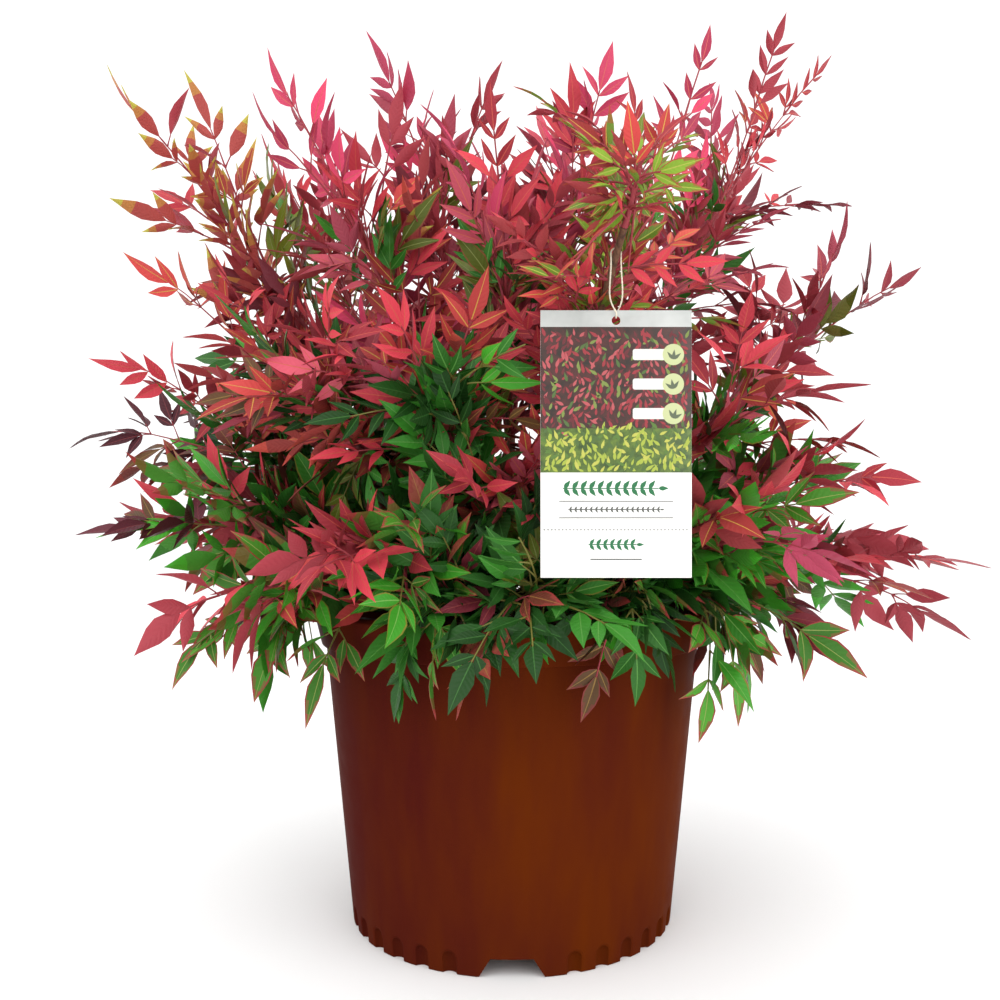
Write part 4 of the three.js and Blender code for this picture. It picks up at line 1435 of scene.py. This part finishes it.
# Three discs, each with a bar at its left and three small leaves that are turned as a whole.
DISC = {"x": 72, "radius": 5.8, "bar": 22, "leaf": 5.4, "leaf_width": 1.9}
DISCS = ((20, 24), (-35, 40), (60, 56))  # turn and depth
# On the plain ground: left edge, depth and length, then a sprig's step, leaf and ink or a rule's height and
# corner.
SPRIGS = (
    (12, 96.5, 52, 4.6, 5.6, "sprig"), (15, 108, 50, 2.8, 2.3, "rule"), (26, 127, 26, 3.7, 4.2, "sprig"),
)
RULES = ((10, 103.5, 62, 0.55, 0.2), (10, 112.5, 62, 0.55, 0.2), (27, 135, 28, 0.7, 0.3))
DOTS = {"count": 40, "left": 1.6, "step": 1.98, "depth": 119}
PRINT_LEAF = (
    (0, 0), (0.18, 0.38), (0.42, 0.5), (0.72, 0.26), (1, 0), (0.72, -0.26), (0.42, -0.5), (0.18, -0.38),
)
INKS = {
    "bar": "D4D4CE", "disc": "B9C08E", "icon": "56604A", "rule": "50524E", "sprig": "14663A",
    "red": "8E2830", "rose": "AA4C50", "dark_red": "5E1A20", "leaf_green": "46602A", "pale_green": "70803A",
    "lime": "98A63A", "straw": "B0B04C", "grass": "4E6E28",
}
INK_ORDER = tuple(INKS)
RED_PRINT = ("red", "dark_red", "rose", "red", "leaf_green", "rose", "red", "dark_red", "pale_green")
GREEN_PRINT = ("lime", "grass", "straw", "lime", "leaf_green", "lime", "straw")


class Print:
    """Flat printed shapes gathered into one mesh. Places are told from the card's top left corner."""

    def __init__(self, left, front, top):
        self.left, self.front, self.top = left, front, top
        self.points, self.faces, self.indices = [], [], []

    def shape(self, outline, ink, layer):
        base = len(self.points)
        front = self.front - layer * INK_LAYER
        self.points += [(self.left + x, front, self.top - depth) for x, depth in outline]
        self.faces.append(tuple(range(base, base + len(outline))))
        self.indices.append(INK_ORDER.index(ink))

    def disc(self, x, depth, radius, ink, layer):
        turns = [2 * math.pi * k / 28 for k in range(28)]
        self.shape([(x + radius * math.cos(a), depth - radius * math.sin(a)) for a in turns], ink, layer)

    def bar(self, x, depth, width, height, ink, layer, corner):
        outline = []
        for quarter, (across, down) in enumerate(((1, -1), (-1, -1), (-1, 1), (1, 1))):
            middle = x + width / 2 + across * (width / 2 - corner), depth + down * (height / 2 - corner)
            for k in range(5):
                a = math.radians(90 * quarter + 22.5 * k)
                outline.append((middle[0] + corner * math.cos(a), middle[1] - corner * math.sin(a)))
        self.shape(outline, ink, layer)

    def leaf(self, x, depth, length, width, angle, ink, layer, room=None):
        """A leaf from its foot, upright at angle 0, kept within room: left, right, top and bottom."""
        sine, cosine = math.sin(math.radians(angle)), math.cos(math.radians(angle))
        outline = []
        for t, half in PRINT_LEAF:
            a, b = t * length, half * width
            outline.append((x + a * sine + b * cosine, depth - a * cosine + b * sine))
        if room:
            outline = [(min(max(a, room[0]), room[1]), min(max(b, room[2]), room[3])) for a, b in outline]
        self.shape(outline, ink, layer)

    def sprig(self, x, depth, length, step, leaf, ink, layer):
        """A level sprig: a thin stem with pairs of leaves and one at its end."""
        self.bar(x, depth, length, 0.6, ink, layer, 0.25)
        for n in range(round(length / step)):
            for angle in (38, 142):
                self.leaf(x + n * step + 0.8, depth, leaf, leaf * 0.46, angle, ink, layer + 0.4)
        self.leaf(x + length, depth, leaf, leaf * 0.46, 90, ink, layer + 0.4)


def make_card(settings):
    """The stiff card with its hole and soft edges, cut across where its printed grounds meet."""
    clear_selection()
    middle = TAG_TOP - TAG["height"] / 2
    bpy.ops.mesh.primitive_cube_add(size=1, location=(HOOK.x * MM, HOOK.y * MM, middle * MM))
    card = bpy.context.object
    card.scale = (TAG["width"] * MM, TAG["thickness"] * MM, TAG["height"] * MM)
    bpy.ops.object.transform_apply(location=True, rotation=False, scale=True)
    clear_selection()
    bpy.ops.mesh.primitive_cylinder_add(
        vertices=32, radius=TAG["hole_radius"] * MM, depth=0.01,
        location=(HOOK.x * MM, HOOK.y * MM, (TAG_TOP - TAG["hole_drop"]) * MM), rotation=(math.pi / 2, 0, 0),
    )
    cut_away(card, bpy.context.object)
    pick(card)
    bpy.ops.object.mode_set(mode="EDIT")
    for _, edge, *_ in GROUNDS:
        bpy.ops.mesh.select_all(action="SELECT")
        bpy.ops.mesh.bisect(plane_co=(0, 0, (TAG_TOP - edge) * MM), plane_no=(0, 0, 1))
    bpy.ops.object.mode_set(mode="OBJECT")
    bevelled(card, 0.18, 2, 60)
    grounds = [mottled_print(name, *inks) for name, _, *inks in GROUNDS]
    dress(card, plain_print("card", tuple(settings.card)), *grounds)
    for face in card.data.polygons:
        if face.normal.y < -0.5:
            depth = TAG_TOP - face.center.z / MM
            printed = [k for k, (_, edge, *_) in enumerate(GROUNDS, 1) if depth < edge]
            face.material_index = printed[0] if printed else 0
    smooth(card, 30)
    settle(card, "tag_card", ["tag"])


def make_print(settings):
    """The card's print: scattered leaves on the grounds, discs with bars, then sprigs, rules and dots."""
    width = TAG["width"]
    marks = Print(HOOK.x - width / 2, HOOK.y - TAG["thickness"] / 2 - INK_LAYER, TAG_TOP)
    draw = seeded(73)
    room = (0.5, width - 0.5, BAND_DEPTH + 0.5, GREEN_DEPTH - 0.5)
    for row in range(LEAF_ROWS):
        for column in range(LEAF_COLUMNS):
            x = mix(1, width - 1, (column + 0.2 + 0.6 * draw()) / LEAF_COLUMNS)
            depth = mix(BAND_DEPTH + 4, GREEN_DEPTH + 1, (row + 0.2 + 0.6 * draw()) / LEAF_ROWS)
            inks = RED_PRINT if depth < RED_DEPTH + 6 * (draw() - 0.3) else GREEN_PRINT
            ink = inks[int(draw() * len(inks))]
            length, angle = 3.8 + 2.2 * draw(), either_way(draw, 130)
            layer = (row + column) % 2 + 0.2 * (row % 3)
            marks.leaf(x, depth, length, length * 0.34, angle, ink, layer, room)
    for turn, depth in DISCS:
        marks.bar(DISC["x"] - DISC["bar"], depth, DISC["bar"], 6, "bar", 3, 1.2)
        marks.disc(DISC["x"], depth, DISC["radius"], "disc", 4)
        for side in (-1, 0, 1):
            angle, layer = side * 44.8 + turn * 0.3, 5 + side * 0.4
            marks.leaf(DISC["x"], depth + 2.6, DISC["leaf"], DISC["leaf_width"], angle, "icon", layer)
    for sprig in SPRIGS:
        marks.sprig(*sprig, 0)
    for left, depth, length, height, corner in RULES:
        marks.bar(left, depth, length, height, "rule", 0, corner)
    for k in range(DOTS["count"]):
        marks.bar(DOTS["left"] + k * DOTS["step"], DOTS["depth"], 1, 0.6, "rule", 0, 0.15)
    colours = {name: linear(code) for name, code in INKS.items()}
    colours["disc"] = tuple(settings.disc)
    inks = [plain_print(f"ink_{name}", colour) for name, colour in colours.items()]
    shapes = mesh_object("shapes", marks.points, marks.faces, inks, marks.indices)
    thick = shapes.modifiers.new("ink", "SOLIDIFY")
    thick.thickness, thick.offset = INK_THICKNESS * MM, 0
    apply_modifiers(shapes)
    settle(shapes, "tag_print", ["tag"])


def loop_point(t):
    """The thread's line: over the cane, down on both sides and through the card's hole, turning a quarter."""
    strand = 1 if t < 0.5 else -1
    down = 1 - abs(1 - 2 * t)
    quarter, bottom = math.pi / 2, LOOP["bottom_radius"]
    top_bend, bottom_bend = HUG_RADIUS * quarter / LOOP["drop"], bottom * quarter / LOOP["drop"]
    middle = min(max((down - top_bend) / (1 - top_bend - bottom_bend), 0), 1)
    spread = mix(HUG_RADIUS, bottom, middle) + THREAD["bow"] * math.sin(math.pi * middle**2)
    z = mix(HUG_TOP - HUG_RADIUS, LOOP_BOTTOM + bottom, middle)
    if down < top_bend:
        angle = down / top_bend * quarter
        spread *= math.sin(angle)
        z += HUG_RADIUS * math.cos(angle)
    if 1 - down < bottom_bend:
        angle = (1 - down) / bottom_bend * quarter
        spread *= math.sin(angle)
        z -= bottom * math.cos(angle)
    return HOOK * Vector((1, 1, 0)) + heading(90 + 90 * middle**5, 0) * (spread * strand) + UP * z


def make_loop(settings):
    """The twisted thread, as a closed tube whose section is drawn in on two sides and turns along it."""
    steps, sides = THREAD["steps"], THREAD["sides"]
    line = [loop_point(i / steps) for i in range(steps)]
    points, faces = [], []
    out = Vector((0, 1, 0))
    for i, point in enumerate(line):
        way = (line[(i + 1) % steps] - line[i - 1]).normalized()
        out = square_to(way, out)
        side = way.cross(out)
        for k in range(sides):
            turn = 2 * math.pi * k / sides
            ply = 1 + THREAD["ply"] * math.sin(turn * 2 + i * THREAD["lay"])
            points.append(point + (out * math.cos(turn) + side * math.sin(turn)) * THREAD["radius"] * ply)
            here, ahead, beside = i * sides, (i + 1) % steps * sides, (k + 1) % sides
            faces.append((here + k, here + beside, ahead + beside, ahead + k))
    f = Finish("thread")
    fibre = f.noise(1800, 3)
    thread = tuple(settings.thread)
    f.set(Base_Color=f.ramp(fibre, ((0.3, tuple(c * 0.7 for c in thread)), (0.6, thread))))
    f.set(Roughness=f.span(fibre, 0.6, 0.8), Normal=f.bump(fibre, 0.0002, 0.5))
    loop = mesh_object("loop", points, faces, [f.material])
    smooth(loop, TUBE_SMOOTH)
    settle(loop, "tag_thread", ["tag_loop"])


# ---- The stage -----------------------------------------------------------------------------------

# Lights: name, power as a share of the key's, and place in metres.
LIGHTS = (("key", 1, (-1.2, -1.3, 1.9)), ("fill", 0.95, (1.6, -1.3, 1.2)))
LIGHT_SIZE, LIGHT_AIM = 2.2, Vector((0, 0, 0.35))
CAMERA = {"distance": 0.728, "height": 0.287, "lens": 36.36, "sensor": 36, "shift": (-0.012, 0.008)}


def make_stage(settings):
    """A plain floor, a white surround, two soft lights and the camera."""
    clear_selection()
    bpy.ops.mesh.primitive_plane_add(size=12, location=(0, 2, 0))
    floor = bpy.context.object
    bpy.ops.object.transform_apply(location=True, rotation=False, scale=False)
    f = Finish("plain_floor")
    mottle = f.noise(3, 2)
    shade = tuple(settings.floor)
    f.set(Base_Color=f.ramp(mottle, ((0.3, tuple(c * 0.985 for c in shade)), (0.7, shade))), Roughness=0.9)
    f.set(Specular_IOR_Level=0.1)
    floor.data.materials.append(f.material)
    floor.name = "plain_floor"
    world = bpy.data.worlds.new("surround")
    bpy.context.scene.world = world
    world.use_nodes = True
    background = world.node_tree.nodes["Background"]
    background.inputs["Color"].default_value = (1, 1, 1, 1)
    background.inputs["Strength"].default_value = settings.sky
    for name, share, place in LIGHTS:
        light = bpy.data.lights.new(name, "AREA")
        light.energy, light.size = settings.key_power * share, LIGHT_SIZE
        lamp = bpy.data.objects.new(name, light)
        bpy.context.scene.collection.objects.link(lamp)
        lamp.location = place
        lamp.rotation_mode = "QUATERNION"
        lamp.rotation_quaternion = (LIGHT_AIM - Vector(place)).to_track_quat("-Z", "Y")
    camera = bpy.data.cameras.new("camera")
    camera.sensor_width, camera.lens = CAMERA["sensor"], CAMERA["lens"]
    camera.shift_x, camera.shift_y = CAMERA["shift"]
    camera.clip_start, camera.clip_end = 0.01, 50
    eye = bpy.data.objects.new("camera", camera)
    bpy.context.scene.collection.objects.link(eye)
    eye.location = (0, -CAMERA["distance"], CAMERA["height"])
    eye.rotation_euler = (math.pi / 2, 0, 0)
    bpy.context.scene.camera = eye
    bpy.context.scene.view_settings.view_transform = "Standard"


# ---- Operators, panel and registration -----------------------------------------------------------


class SHRUB_OT_make_pot(bpy.types.Operator):
    """Make the pot with its rim, grooved foot and notches"""

    bl_idname = "shrub.make_pot"
    bl_label = "Nursery pot"

    def execute(self, context):
        make_pot(context.scene.shrub_pot)
        return {"FINISHED"}


class SHRUB_OT_make_mix(bpy.types.Operator):
    """Make the potting mix and its bark chips"""

    bl_idname = "shrub.make_mix"
    bl_label = "Potting mix"

    def execute(self, context):
        make_potting_mix(context.scene.shrub_pot)
        make_chips(context.scene.shrub_pot)
        return {"FINISHED"}


class SHRUB_OT_make_stool(bpy.types.Operator):
    """Make the stool that the canes rise from"""

    bl_idname = "shrub.make_stool"
    bl_label = "Woody stool"

    def execute(self, context):
        make_stool(context.scene.shrub_plant)
        return {"FINISHED"}


class SHRUB_OT_make_canes(bpy.types.Operator):
    """Make the canes with their bark"""

    bl_idname = "shrub.make_canes"
    bl_label = "Canes"

    def execute(self, context):
        make_canes(context.scene.shrub_plant)
        return {"FINISHED"}


class SHRUB_OT_make_foliage(bpy.types.Operator):
    """Grow the twigs and leaflets of each tier"""

    bl_idname = "shrub.make_foliage"
    bl_label = "Foliage"

    def execute(self, context):
        make_foliage(context.scene.shrub_plant)
        return {"FINISHED"}


class SHRUB_OT_make_tag(bpy.types.Operator):
    """Make the card and its plain print"""

    bl_idname = "shrub.make_tag"
    bl_label = "Tag"

    def execute(self, context):
        make_card(context.scene.shrub_tag)
        make_print(context.scene.shrub_tag)
        return {"FINISHED"}


class SHRUB_OT_make_loop(bpy.types.Operator):
    """Make the thread that the tag hangs on"""

    bl_idname = "shrub.make_loop"
    bl_label = "Thread"

    def execute(self, context):
        make_loop(context.scene.shrub_tag)
        return {"FINISHED"}


class SHRUB_OT_make_stage(bpy.types.Operator):
    """Set the floor, the lights and the camera"""

    bl_idname = "shrub.make_stage"
    bl_label = "Stage"

    def execute(self, context):
        make_stage(context.scene.shrub_stage)
        return {"FINISHED"}


OPERATORS = (
    SHRUB_OT_make_pot,
    SHRUB_OT_make_mix,
    SHRUB_OT_make_stool,
    SHRUB_OT_make_canes,
    SHRUB_OT_make_foliage,
    SHRUB_OT_make_tag,
    SHRUB_OT_make_loop,
    SHRUB_OT_make_stage,
)


class SHRUB_PT_panel(bpy.types.Panel):
    """Lists the pieces and their settings."""

    bl_label = "Potted heavenly bamboo"
    bl_idname = "SHRUB_PT_panel"
    bl_space_type = "VIEW_3D"
    bl_region_type = "UI"
    bl_category = "Shrub"

    def draw(self, context):
        for name, settings in SETTINGS.items():
            column = self.layout.column(align=True)
            for key in settings.__annotations__:
                column.prop(getattr(context.scene, name), key)
        for operator in OPERATORS:
            self.layout.operator(operator.bl_idname)


SETTINGS = {
    "shrub_pot": PotSettings, "shrub_plant": PlantSettings,
    "shrub_tag": TagSettings, "shrub_stage": StageSettings,
}


def register():
    for name, settings in SETTINGS.items():
        bpy.utils.register_class(settings)
        setattr(bpy.types.Scene, name, bpy.props.PointerProperty(type=settings))
    for operator in OPERATORS:
        bpy.utils.register_class(operator)
    bpy.utils.register_class(SHRUB_PT_panel)


def unregister():
    bpy.utils.unregister_class(SHRUB_PT_panel)
    for operator in reversed(OPERATORS):
        bpy.utils.unregister_class(operator)
    for name, settings in reversed(SETTINGS.items()):
        delattr(bpy.types.Scene, name)
        bpy.utils.unregister_class(settings)


def main():
    register()
    for operator in OPERATORS:
        group, name = operator.bl_idname.split(".")
        getattr(getattr(bpy.ops, group), name)()


if __name__ == "__main__":
    main()
